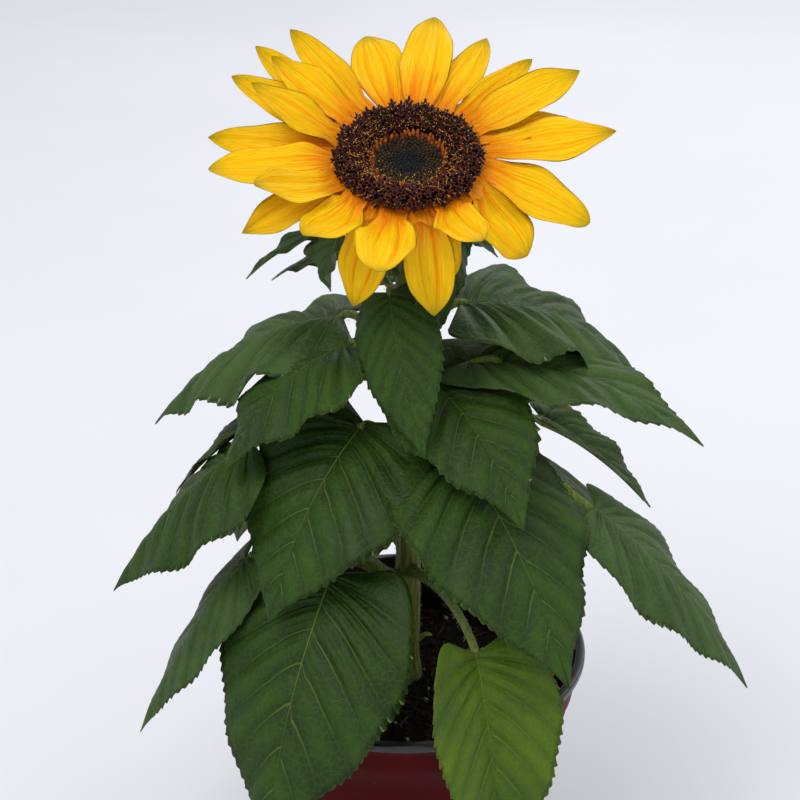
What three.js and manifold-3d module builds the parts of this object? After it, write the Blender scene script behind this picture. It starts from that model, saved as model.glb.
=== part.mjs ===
// A dwarf sunflower in a two-tone nursery pot: one upright stem, one open flower head that looks up
// and forward, toothed leaves on stalks all round, and compost in the pot.
// Millimetres, +Z up. The origin is the centre of the pot's flat underside, and -Y is the side
// that the flower faces.
import * as THREE from "three";
import { mergeVertices } from "three/addons/utils/BufferGeometryUtils.js";
import Module from "manifold-3d";

const wasm = await Module();
wasm.setup();

// ---------------------------------------------------------------- driving dimensions
const GAP = 0.4; // clear space between pieces that touch on the real plant

const POT = {
  height: 125,
  lipRadius: 75,
  lipHeight: 3.2,
  lipOverhang: 2,
  baseRadius: 51,
  baseBevel: 1.5,
  wall: 1.7,
  floor: 2.4,
  ringDrop: 17, // from the lip down to the step in the wall
  ringStep: 0.9,
  edgeRound: 0.8, // how much each corner of the lip is taken off
  sides: 40,
};
const DRAIN = { count: 6, radius: 4, circle: 37, sides: 10 };
const SOIL = { top: 107, crown: 2.2, moat: 2.6, sides: 40 }; // moat: how far the rim of it sinks

const STEM = {
  foot: SOIL.top + SOIL.crown + GAP,
  flareRadius: 7.2,
  flareHeight: 9,
  footRadius: 5.4,
  neckRadius: 3.3,
  neckHeight: 288, // above this the stem bends forward under the head
  sway: 1.3, // how far the stem wanders sideways between foot and neck
  straightSteps: 9,
  crowding: 1.25, // above 1, the rings stand closer together near the foot
  bendSteps: 4,
  sides: 10,
};

const HEAD = {
  centre: new THREE.Vector3(1, -20, 346.5), // middle of the disc's face
  tilt: 33, // degrees that the face leans from looking straight up
  discRadius: 26.5,
  sides: 32,
};
// The disc's outline: [share of its radius, height above its face].
const DISC_OUTLINE = [
  [0, -3.6], [0.76, -3.6], [0.88, -1.2], [1, 2.2], [0.93, 4.2],
  [0.8, 4.6], [0.62, 2.2], [0.4, 1.4], [0, 0.2],
];
const RECEPTACLE = { top: -9.4, radius: 18.5, depth: 9.5, footRadius: 4.6, sides: 24 };
const PETAL = {
  rootRadius: 19.5,
  hingeRadius: 23.5, // where the petal turns to its own rise
  rootHalfWidth: 2.6,
  thickness: 0.8,
  elbow: 0.36, // share of the length that runs level before the turn
  flatShare: 0.4, // share of the half width that is full thickness
  dish: 0.16, // how far the edges stand above the middle, as a share of the half width
  rings: [0, 0.14, 0.3, 0.48, 0.66, 0.82, 0.94],
};
const PETAL_LEVELS = { upper: -4.8, middle: -6.3, lower: -7.8 }; // below the disc's face

const LEAF = {
  thickness: 1.1,
  stalkRadius: 1.7,
  ribAtTip: 0.45,
  crestShare: 0.6, // how far along the stalk its arch is highest
  crestLift: 4,
  bendShare: 0.45, // how far along the blade its arch is highest
  openShare: 0.2, // how far along the blade the fold and roll are fully there
  stalkRings: [0, 0.36, 0.72],
  bladeRings: [0.015, 0.09, 0.2, 0.33, 0.48, 0.63, 0.78, 0.91],
};

const COLOURS = {
  leaf: 0x35591f,
  stem: 0x7d8a3a,
  petal: 0xf7bf12,
  disc: 0x2a1410,
  receptacle: 0x4f6b2a,
  pot: 0x4a1518,
  soil: 0x14100e,
};

// Petals go round anticlockwise seen from above the face, from the plant's right-hand side (+X).
// turn: degrees round the disc. rise: degrees above the face's plane. length and width in mm.
// level: which of the three overlapping whorls it grows in.
const PETALS = [
  { turn: 9, rise: -6, length: 54, width: 18, level: "middle" },
  { turn: 22, rise: -15, length: 42, width: 13, level: "lower" },
  { turn: 31, rise: -1, length: 51, width: 17, level: "upper" },
  { turn: 47, rise: -10, length: 46, width: 12, level: "lower" },
  { turn: 64, rise: -13, length: 46, width: 15, level: "middle" },
  { turn: 82, rise: -10, length: 51, width: 18, level: "upper" },
  { turn: 104, rise: -18, length: 46, width: 19, level: "lower" },
  { turn: 127, rise: -3, length: 51, width: 13, level: "middle" },
  { turn: 141, rise: 6, length: 42, width: 14, level: "upper" },
  { turn: 137, rise: -7, length: 56, width: 13, level: "lower" },
  { turn: 160, rise: 20, length: 39, width: 14, level: "upper" },
  { turn: 151, rise: -4, length: 52, width: 14, level: "middle" },
  { turn: 172, rise: -6, length: 51, width: 17, level: "lower" },
  { turn: 188, rise: 2, length: 49, width: 19, level: "upper" },
  { turn: 208, rise: 22, length: 41, width: 16, level: "upper" },
  { turn: 200, rise: -28, length: 46, width: 19, level: "lower" },
  { turn: 231, rise: 14, length: 36, width: 18, level: "middle" },
  { turn: 245, rise: -58, length: 44, width: 17, level: "lower" },
  { turn: 260, rise: 17, length: 41, width: 20, level: "upper" },
  { turn: 281, rise: -55, length: 44, width: 17, level: "middle" },
  { turn: 297, rise: 18, length: 34, width: 17, level: "upper" },
  { turn: 293, rise: -72, length: 39, width: 12, level: "lower" },
  { turn: 326, rise: -40, length: 38, width: 19, level: "lower" },
  { turn: 346, rise: -25, length: 50, width: 18, level: "middle" },
];

// Leaves. turn: degrees round the stem from +X, so 270 is the front. node: height where the stalk
// leaves the stem. joint and tip: [distance from the stem's axis, height] of the blade's two ends.
// drift: how far the tip swings sideways, anticlockwise. width: of the flat blade. arch: how far
// the middle of the midrib stands off the straight line. roll: degrees that the blade turns about
// its midrib. fold: degrees that each half rises from flat. lift: how high the stalk arches.
const LEAVES = {
  leaf_front_low_left: {
    turn: 238, node: 158, joint: [52, 186], tip: [105, 86], drift: 0,
    width: 84, arch: 7, roll: 0, fold: -8,
  },
  leaf_front_low_right: {
    turn: 292, node: 162, joint: [71, 163], tip: [98, 78], drift: 0, lift: 14,
    width: 58, arch: 5, roll: 6, fold: 12,
  },
  leaf_front_right: {
    turn: 305, node: 200, joint: [32, 230], tip: [108, 160], drift: 0,
    width: 78, arch: 8, roll: 0, fold: -3,
  },
  leaf_right_low: {
    turn: 346, node: 182, joint: [64, 208], tip: [144, 126], drift: 0,
    width: 58, arch: 7, roll: 0, fold: -8,
  },
  leaf_front_left: {
    turn: 229, node: 206, joint: [27, 235], tip: [81, 172], drift: 0,
    width: 72, arch: 7, roll: 0, fold: -8,
  },
  leaf_left: {
    turn: 186, node: 196, joint: [46, 230], tip: [119, 157], drift: 0,
    width: 74, arch: 9, roll: 3, fold: -12,
  },
  leaf_left_low: {
    turn: 200, node: 158, joint: [66, 180], tip: [115, 107], drift: 0,
    width: 40, arch: 4, roll: 4, fold: -14,
  },
  leaf_upper_left_front: {
    turn: 205, node: 240, joint: [23, 266], tip: [76, 226], drift: 0,
    width: 50, arch: 8, roll: 0, fold: -6,
  },
  leaf_upper_left: {
    turn: 165, node: 246, joint: [24, 271], tip: [107, 212], drift: 0,
    width: 52, arch: 11, roll: 0, fold: -4,
  },
  leaf_upper_right: {
    turn: 8, node: 252, joint: [23, 277], tip: [96, 239], drift: 0,
    width: 60, arch: 11, roll: 0, fold: -6,
  },
  leaf_right: {
    turn: 345, node: 234, joint: [40, 258], tip: [119, 233], drift: 0,
    width: 46, arch: 8, roll: 0, fold: -26,
  },
  leaf_right_small: {
    turn: 5, node: 210, joint: [50, 229], tip: [101, 184], drift: 0,
    width: 28, arch: 4, roll: 14, fold: 26,
  },
  leaf_front_upper_right: {
    turn: 305, node: 226, joint: [15, 252], tip: [78, 214], drift: 0,
    width: 48, arch: 8, roll: 0, fold: -10,
  },
  leaf_front_top: {
    turn: 250, node: 268, joint: [19, 291], tip: [49, 238], drift: 25,
    width: 31, arch: 5, roll: 0, fold: -8,
  },
  leaf_top_right: {
    turn: 308, node: 292, joint: [24, 320], tip: [20, 268], drift: -3,
    width: 28, arch: 4, roll: 0, fold: -10,
  },
  leaf_top_left: {
    turn: 205, node: 292, joint: [25, 316], tip: [32, 285], drift: 0,
    width: 18, arch: 3, roll: 0, fold: 20,
  },
  leaf_top_left_narrow: {
    turn: 175, node: 296, joint: [22, 309], tip: [63, 287], drift: 0,
    width: 16, arch: 4, roll: 0, fold: 10,
  },
  leaf_top_left_small: {
    turn: 160, node: 284, joint: [20, 298], tip: [57, 281], drift: 0,
    width: 17, arch: 3, roll: 0, fold: -6,
  },
  leaf_top_back_right: {
    turn: 350, node: 293, joint: [18, 309], tip: [36, 300], drift: 0,
    width: 14, arch: 2, roll: 0, fold: 6,
  },
  leaf_left_back: {
    turn: 168, node: 214, joint: [48, 231], tip: [104, 191], drift: 0,
    width: 46, arch: 6, roll: 0, fold: 12,
  },
  leaf_back_right_low: {
    turn: 38, node: 178, joint: [48, 204], tip: [112, 138], drift: 0,
    width: 60, arch: 9, roll: 0, fold: -6,
  },
  leaf_back_low: {
    turn: 84, node: 164, joint: [46, 190], tip: [110, 118], drift: 0,
    width: 62, arch: 8, roll: 0, fold: -8,
  },
  leaf_back_left_low: {
    turn: 134, node: 172, joint: [46, 198], tip: [112, 130], drift: 0,
    width: 60, arch: 9, roll: 0, fold: -6,
  },
  leaf_back_right: {
    turn: 52, node: 216, joint: [36, 240], tip: [98, 196], drift: 0,
    width: 52, arch: 8, roll: 0, fold: -6,
  },
  leaf_back_left: {
    turn: 118, node: 222, joint: [34, 246], tip: [96, 204], drift: 0,
    width: 54, arch: 8, roll: 0, fold: -6,
  },
  leaf_back_top: {
    turn: 86, node: 258, joint: [22, 280], tip: [72, 254], drift: 0,
    width: 36, arch: 6, roll: 0, fold: -4,
  },
};

// ---------------------------------------------------------------- helpers
const UP = new THREE.Vector3(0, 0, 1);
const radians = THREE.MathUtils.degToRad;

/** A level direction at an angle round the stem. */
function levelDirection(turn) {
  return new THREE.Vector3(Math.cos(radians(turn)), Math.sin(radians(turn)), 0);
}

/** A matte mesh with a name and a colour. */
function piece(name, geometry, colour, roughness = 0.7) {
  const material = new THREE.MeshStandardMaterial({ color: colour, roughness, metalness: 0 });
  const mesh = new THREE.Mesh(geometry, material);
  mesh.name = name;
  return mesh;
}

/** Six times the volume that a triangle list encloses, negative when its faces point inwards. */
function signedVolume(points, triangles) {
  const cross = new THREE.Vector3();
  return triangles.reduce((sum, [a, b, c]) => {
    return sum + points[a].dot(cross.crossVectors(points[b], points[c]));
  }, 0);
}

/** A geometry from points and triangles, turned so that its faces point out. */
function closedGeometry(points, triangles) {
  const outward = signedVolume(points, triangles) > 0;
  const order = triangles.flatMap(([a, b, c]) => (outward ? [a, b, c] : [a, c, b]));
  const geometry = new THREE.BufferGeometry().setFromPoints(points);
  geometry.setIndex(order);
  return geometry;
}

/**
 * A closed body through equal rings of points: a flat fan closes the first, a point the last.
 * A ring runs along the blade's upper side and back along its underside, and the diagonals
 * underneath mirror those above, so that a thin blade's two sides stay apart where it twists.
 */
function loftToPoint(rings, point) {
  const count = rings[0].length;
  const points = [...rings.flat(), point];
  const triangles = [];
  for (let k = 1; k + 1 < count; k += 1) triangles.push([0, k + 1, k]);
  for (let ring = 0; ring + 1 < rings.length; ring += 1) {
    for (let k = 0; k < count; k += 1) {
      const [a, b] = [ring * count + k, ring * count + ((k + 1) % count)];
      if (k < count / 2) triangles.push([a, b, b + count], [a, b + count, a + count]);
      else triangles.push([a, b, a + count], [b, b + count, a + count]);
    }
  }
  const last = (rings.length - 1) * count;
  for (let k = 0; k < count; k += 1) {
    triangles.push([last + k, last + ((k + 1) % count), points.length - 1]);
  }
  return closedGeometry(points, triangles);
}

/** A closed tube of round rings about a path, with both ends cut flat. */
function taperedTube(centres, tangents, radii, sides) {
  const points = [];
  centres.forEach((centre, i) => {
    const across = new THREE.Vector3().crossVectors(tangents[i], new THREE.Vector3(0, 1, 0));
    across.normalize();
    const beside = new THREE.Vector3().crossVectors(tangents[i], across).normalize();
    for (let k = 0; k < sides; k += 1) {
      const angle = (2 * Math.PI * k) / sides;
      points.push(
        centre.clone()
          .addScaledVector(across, radii[i] * Math.cos(angle))
          .addScaledVector(beside, radii[i] * Math.sin(angle)),
      );
    }
  });
  const triangles = [];
  const last = (centres.length - 1) * sides;
  for (let k = 1; k + 1 < sides; k += 1) {
    triangles.push([0, k + 1, k], [last, last + k, last + k + 1]);
  }
  for (let ring = 0; ring + 1 < centres.length; ring += 1) {
    for (let k = 0; k < sides; k += 1) {
      const [a, b] = [ring * sides + k, ring * sides + ((k + 1) % sides)];
      triangles.push([a, b, b + sides], [a, b + sides, a + sides]);
    }
  }
  return closedGeometry(points, triangles);
}

/** A profile of [radius, height] pairs spun about Z. */
function turned(profile, sides) {
  const geometry = new THREE.LatheGeometry(
    profile.map(([radius, height]) => new THREE.Vector2(radius, height)),
    sides,
  );
  return geometry.rotateX(Math.PI / 2);
}

/** A closed geometry as a solid that can be cut. */
function solidOf(geometry) {
  const bare = geometry.clone().deleteAttribute("normal").deleteAttribute("uv");
  const merged = mergeVertices(bare, 1e-4);
  const solid = new wasm.Manifold(
    new wasm.Mesh({
      numProp: 3,
      vertProperties: merged.attributes.position.array,
      triVerts: new Uint32Array(merged.index.array),
    }),
  );
  return solid;
}

/** A cut solid back as a geometry. */
function geometryOf(solid) {
  const mesh = solid.getMesh();
  const geometry = new THREE.BufferGeometry();
  geometry.setAttribute("position", new THREE.BufferAttribute(mesh.vertProperties, 3));
  geometry.setIndex(new THREE.BufferAttribute(mesh.triVerts, 1));
  return geometry;
}

// ---------------------------------------------------------------- pot and compost
/** The outer radius of the pot's wall at a height. */
function potRadius(height) {
  const top = POT.lipRadius - POT.lipOverhang;
  return POT.baseRadius + ((top - POT.baseRadius) * height) / (POT.height - POT.lipHeight);
}

/** The pot: a tapered cup with a rolled lip, a step in its wall and drain holes round its floor. */
function buildPot() {
  const { height, lipRadius, lipHeight, wall, floor, baseRadius, baseBevel, edgeRound } = POT;
  const underLip = height - lipHeight;
  const ring = height - POT.ringDrop;
  const inner = (z) => potRadius(z) - POT.ringStep - wall;
  const profile = [
    [0, 0],
    [baseRadius - baseBevel, 0],
    [baseRadius, baseBevel],
    [potRadius(ring) - POT.ringStep, ring - POT.ringStep],
    [potRadius(ring), ring],
    [potRadius(underLip), underLip],
    [lipRadius, underLip + edgeRound / 2],
    [lipRadius, height - edgeRound],
    [lipRadius - edgeRound, height],
    [inner(height) + edgeRound, height],
    [inner(height), height - edgeRound],
    [inner(floor), floor],
    [0, floor],
  ];
  let cup = solidOf(turned(profile, POT.sides));
  for (let k = 0; k < DRAIN.count; k += 1) {
    const direction = levelDirection((360 / DRAIN.count) * (k + 0.5));
    const drill = new THREE.CylinderGeometry(DRAIN.radius, DRAIN.radius, 3 * floor, DRAIN.sides);
    drill.rotateX(Math.PI / 2);
    drill.translate(direction.x * DRAIN.circle, direction.y * DRAIN.circle, floor / 2);
    cup = cup.subtract(solidOf(drill));
  }
  return piece("pot", geometryOf(cup), COLOURS.pot, 0.4);
}

/** The compost: fills the pot to below its lip, a little higher round the stem than at the wall. */
function buildSoil() {
  const inner = (z) => potRadius(z) - POT.ringStep - POT.wall - GAP;
  const bottom = POT.floor + GAP;
  const edge = SOIL.top - SOIL.moat;
  const profile = [
    [0, bottom],
    [inner(bottom), bottom],
    [inner(edge), edge],
    [inner(edge) * 0.82, SOIL.top],
    [inner(edge) * 0.3, SOIL.top + SOIL.crown],
    [0, SOIL.top + SOIL.crown],
  ];
  return piece("soil", turned(profile, SOIL.sides), COLOURS.soil, 0.95);
}

// ---------------------------------------------------------------- stem
/** How far up the straight stem a height is, from 0 at the foot to 1 at the neck. */
function stemShare(height) {
  return THREE.MathUtils.clamp((height - STEM.foot) / (STEM.neckHeight - STEM.foot), 0, 1);
}

/** The stem's centre at a height below the neck: upright, with a slight sideways wander. */
function stemCentre(height) {
  const wander = Math.sin(Math.PI * 2 * stemShare(height));
  return new THREE.Vector3(STEM.sway * wander, STEM.sway * 0.5 * wander, height);
}

/** The stem's radius at a height: a steady taper, with a flare over the lowest stretch. */
function stemRadius(height) {
  const taper = THREE.MathUtils.lerp(STEM.footRadius, STEM.neckRadius, stemShare(height));
  const lift = Math.max(0, 1 - (height - STEM.foot) / STEM.flareHeight);
  return taper + (STEM.flareRadius - STEM.footRadius) * lift * lift;
}

/** The frame of the flower head: which way its face looks, and two directions in the face. */
const head = (() => {
  const out = new THREE.Vector3(0, -Math.sin(radians(HEAD.tilt)), Math.cos(radians(HEAD.tilt)));
  const right = new THREE.Vector3(1, 0, 0);
  return { out, right, back: new THREE.Vector3().crossVectors(out, right) };
})();

/** The point on the head's axis at a distance in front of the disc's face. */
function headPoint(distance) {
  return HEAD.centre.clone().addScaledVector(head.out, distance);
}

/** The stem, from its flat foot on the compost up to the flat cut under the receptacle. */
function buildStem() {
  const centres = [];
  const tangents = [];
  const radii = [];
  for (let i = 0; i <= STEM.straightSteps; i += 1) {
    const share = (i / STEM.straightSteps) ** STEM.crowding;
    const height = THREE.MathUtils.lerp(STEM.foot, STEM.neckHeight, share);
    centres.push(stemCentre(height));
    tangents.push(UP.clone());
    radii.push(stemRadius(height));
  }
  const top = headPoint(RECEPTACLE.top - RECEPTACLE.depth - GAP);
  const start = stemCentre(STEM.neckHeight);
  const reach = start.distanceTo(top) / 3;
  const bend = new THREE.CubicBezierCurve3(
    start,
    start.clone().addScaledVector(UP, reach),
    top.clone().addScaledVector(head.out, -reach),
    top,
  );
  for (let i = 1; i <= STEM.bendSteps; i += 1) {
    const share = i / STEM.bendSteps;
    centres.push(bend.getPoint(share));
    tangents.push(bend.getTangent(share));
    radii.push(THREE.MathUtils.lerp(STEM.neckRadius, RECEPTACLE.footRadius, share ** 3));
  }
  return piece("stem", taperedTube(centres, tangents, radii, STEM.sides), COLOURS.stem);
}

// ---------------------------------------------------------------- flower head
/** Turns a lathe about Z into one about the head's axis, measured from the disc's face. */
function ontoHead(geometry) {
  geometry.rotateX(radians(HEAD.tilt));
  return geometry.translate(...HEAD.centre.toArray());
}

/** The disc: a raised outer bank of open florets round a shallow dish of closed ones. */
function buildDisc() {
  const profile = DISC_OUTLINE.map(([share, height]) => [share * HEAD.discRadius, height]);
  return piece("disc", ontoHead(turned(profile, HEAD.sides)), COLOURS.disc, 0.9);
}

/** The receptacle: the green bowl behind the petals that the stem swells into. */
function buildReceptacle() {
  const { top, radius, depth, footRadius } = RECEPTACLE;
  const profile = [
    [0, top - depth],
    [footRadius, top - depth],
    [radius * 0.55, top - depth * 0.72],
    [radius * 0.9, top - depth * 0.36],
    [radius, top - 0.8],
    [radius * 0.94, top],
    [0, top],
  ];
  const bowl = ontoHead(turned(profile, RECEPTACLE.sides));
  return piece("receptacle", bowl, COLOURS.receptacle);
}

/** One petal: a thin blade that leaves its whorl level with the face and then turns to its rise. */
function buildPetal({ turn, rise, length, width, level }, index) {
  const outward = head.right.clone().multiplyScalar(Math.cos(radians(turn)))
    .addScaledVector(head.back, Math.sin(radians(turn)));
  const depth = PETAL_LEVELS[level];
  const root = headPoint(depth).addScaledVector(outward, PETAL.rootRadius);
  const tip = headPoint(0).addScaledVector(outward, PETAL.hingeRadius)
    .addScaledVector(outward, length * Math.cos(radians(rise)))
    .addScaledVector(head.out, length * Math.sin(radians(rise)));
  const elbow = root.clone().addScaledVector(outward, length * PETAL.elbow)
    .addScaledVector(head.out, 1);
  const midline = new THREE.QuadraticBezierCurve3(root, elbow, tip);
  const side = new THREE.Vector3().crossVectors(head.out, outward);
  const rings = PETAL.rings.map((share) => {
    const tangent = midline.getTangent(share);
    const normal = new THREE.Vector3().crossVectors(tangent, side);
    const spread = Math.sin(Math.PI * share ** 0.95) ** 0.75;
    const half = Math.max((width / 2) * spread, PETAL.rootHalfWidth * (1 - share));
    const thin = PETAL.thickness / 2;
    const at = (across, up) => midline.getPoint(share)
      .addScaledVector(side, across).addScaledVector(normal, up);
    const dish = half * PETAL.dish * Math.min(1, 3 * share);
    const flat = half * PETAL.flatShare;
    return [
      at(half, dish), at(flat, thin), at(-flat, thin),
      at(-half, dish), at(-flat, -thin), at(flat, -thin),
    ];
  });
  const name = `petal_${String(index + 1).padStart(2, "0")}`;
  return piece(name, loftToPoint(rings, tip), COLOURS.petal, 0.6);
}

// ---------------------------------------------------------------- leaves
/** The share of the full width that a leaf has along its blade, heart-shaped at the base. */
function leafOutline(share) {
  return Math.sin(Math.PI * share ** 0.6);
}

/** One leaf: a round stalk out from the stem, then a thin blade folded along its midrib. */
function buildLeaf(name, habit) {
  const direction = levelDirection(habit.turn);
  const side = new THREE.Vector3().crossVectors(UP, direction);
  const inPlane = ([reach, height]) => direction.clone().multiplyScalar(reach).setZ(height);
  const joint = inPlane(habit.joint);
  const tip = inPlane(habit.tip).addScaledVector(side, habit.drift);
  const clear = stemRadius(habit.node) + LEAF.stalkRadius + GAP;
  const root = stemCentre(habit.node).addScaledVector(direction, clear);
  const crest = root.clone().lerp(joint, LEAF.crestShare);
  crest.setZ(joint.z + (habit.lift ?? LEAF.crestLift));
  const stalk = new THREE.QuadraticBezierCurve3(root, crest, joint);

  const chord = tip.clone().sub(joint).normalize();
  const across = new THREE.Vector3().crossVectors(chord, side).cross(chord).normalize();
  const upward = new THREE.Vector3().crossVectors(chord, across).normalize();
  if (upward.dot(UP) + upward.dot(direction) < 0) {
    upward.negate();
    across.negate();
  }
  const middle = joint.clone().lerp(tip, LEAF.bendShare).addScaledVector(upward, 2 * habit.arch);
  const midrib = new THREE.QuadraticBezierCurve3(joint, middle, tip);

  /** One ring of eight points: edge, quarter, rib, quarter, edge, and back underneath. */
  const ring = (centre, tangent, { half, rib, thin, fold = 0, roll = 0 }) => {
    const flat = across.clone().addScaledVector(tangent, -across.dot(tangent)).normalize();
    flat.applyAxisAngle(tangent, radians(roll));
    const normal = new THREE.Vector3().crossVectors(tangent, flat).normalize();
    const level = half * Math.cos(radians(fold));
    const raise = half * Math.sin(radians(fold));
    const at = (x, z) => centre.clone().addScaledVector(flat, x).addScaledVector(normal, z);
    return [
      at(level, raise), at(level / 2, raise / 2 + thin),
      at(0, rib), at(-level / 2, raise / 2 + thin),
      at(-level, raise), at(-level / 2, raise / 2 - thin),
      at(0, -rib), at(level / 2, raise / 2 - thin),
    ];
  };

  const round = LEAF.stalkRadius;
  const section = { half: round, rib: round, thin: round * Math.SQRT1_2 };
  const rings = LEAF.stalkRings.map((share) => {
    return ring(stalk.getPoint(share), stalk.getTangent(share), section);
  });
  for (const share of LEAF.bladeRings) {
    const opened = Math.min(1, share / LEAF.openShare);
    rings.push(
      ring(midrib.getPoint(share), midrib.getTangent(share), {
        half: Math.max((habit.width / 2) * leafOutline(share), round),
        rib: THREE.MathUtils.lerp(round, LEAF.ribAtTip, share),
        thin: LEAF.thickness / 2,
        fold: habit.fold * opened,
        roll: habit.roll * opened,
      }),
    );
  }
  return piece(name, loftToPoint(rings, tip), COLOURS.leaf);
}

// ---------------------------------------------------------------- the plant
const plant = new THREE.Group();
plant.name = "potted_sunflower";
plant.add(buildPot(), buildSoil(), buildStem(), buildReceptacle(), buildDisc());
PETALS.forEach((petal, index) => plant.add(buildPetal(petal, index)));
Object.entries(LEAVES).forEach(([name, habit]) => plant.add(buildLeaf(name, habit)));

export default plant;
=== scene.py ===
"""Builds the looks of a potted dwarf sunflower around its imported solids.

Every surface is worked out with numpy from the places of the solids in the frame: blades are grids
laid along a midline, stalks are profiles carried along a path, and the small florets, hairs and
crumbs are templates dealt out by arrays. Metres, +Z up, -Y is the side the flower faces.
"""

import sys
import logging
import math
from collections.abc import Callable
from dataclasses import dataclass, field, replace
from enum import Enum

import bpy
import numpy as np
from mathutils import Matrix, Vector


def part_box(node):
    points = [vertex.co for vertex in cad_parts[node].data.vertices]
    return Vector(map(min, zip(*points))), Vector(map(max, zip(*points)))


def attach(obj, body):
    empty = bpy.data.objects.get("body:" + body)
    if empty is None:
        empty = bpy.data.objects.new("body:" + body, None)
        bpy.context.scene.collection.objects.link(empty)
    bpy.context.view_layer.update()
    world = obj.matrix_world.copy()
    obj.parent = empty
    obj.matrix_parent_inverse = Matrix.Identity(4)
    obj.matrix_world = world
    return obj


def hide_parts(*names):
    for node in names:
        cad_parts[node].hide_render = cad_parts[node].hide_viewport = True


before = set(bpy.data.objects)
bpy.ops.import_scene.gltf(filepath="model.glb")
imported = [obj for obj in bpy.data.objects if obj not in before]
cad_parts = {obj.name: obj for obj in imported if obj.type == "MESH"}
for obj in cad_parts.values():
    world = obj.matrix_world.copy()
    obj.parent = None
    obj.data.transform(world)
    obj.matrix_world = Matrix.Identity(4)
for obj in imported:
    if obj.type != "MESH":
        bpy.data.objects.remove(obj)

Array = np.ndarray
Material = bpy.types.Material
Node = bpy.types.Node
Socket = bpy.types.NodeSocket
Tree = bpy.types.NodeTree
Value = Socket | float
Colour = tuple[float, float, float]
LOG = logging.getLogger("sunflower")
MM = 0.001
BODY = "root"
UP = np.array([0.0, 0.0, 1.0])
FACE_LEAN = 9.0  # degrees that the florets look higher than the solid disc
FACE_DROP = 5.0 * MM  # and how far they sit below it
LEAF_STEPS = 8  # Points in each ring of a leaf's solid
PETAL_STEPS = 6  # and of a petal's
GOLDEN_ANGLE = math.pi * (3.0 - math.sqrt(5.0))


# ---------------------------------------------------------------- small sums
def unit(vectors: Array) -> Array:
    """Each vector over its length."""
    return vectors / np.maximum(np.linalg.norm(vectors, axis=-1, keepdims=True), 1e-12)


def smooth(low: float, high: float, values: Array) -> Array:
    """An S-curve from 0 at low to 1 at high: 3x squared less 2x cubed of the share between them."""
    share = np.clip((values - low) / (high - low), 0.0, 1.0)
    return share * share * (3.0 - 2.0 * share)


def steps_round(count: int) -> Array:
    """Even turns from 0 up to a whole turn, in radians."""
    return 2 * math.pi * np.arange(count) / count


def gone_along(path: Array) -> Array:
    """The distance gone along a path at each of its points: the running sum of its steps."""
    return np.concatenate([[0.0], np.cumsum(np.linalg.norm(np.diff(path, axis=0), axis=1))])


def round_rings(radius: Array, turn: Array, height: Array) -> Array:
    """Rings about Z by row and step: radius times cosine and sine of the turn, and the height."""
    return np.stack(np.broadcast_arrays(radius * np.cos(turn), radius * np.sin(turn), height), -1)


def ripple(rng: np.random.Generator, u: Array, v: Array, waves: float, count: int = 5) -> Array:
    """A soft uneven field: the mean of some sine waves in chance directions.

    Args:
        rng: Source of the directions and phases.
        u: First parameter of each point.
        v: Second parameter of each point.
        waves: About how many waves cross one unit of a parameter.
        count: How many waves are added.

    Returns:
        Values from -1 to 1 in the shape of u.
    """
    angle = rng.uniform(0.0, 2.0 * math.pi, count)
    pace = rng.uniform(0.6, 1.4, count) * waves * 2.0 * math.pi
    phase = rng.uniform(0.0, 2.0 * math.pi, count)
    total = np.zeros_like(u)
    for a, p, f in zip(angle, pace, phase):
        total = total + np.sin(p * (u * math.cos(a) + v * math.sin(a)) + f)
    return total / count


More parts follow.
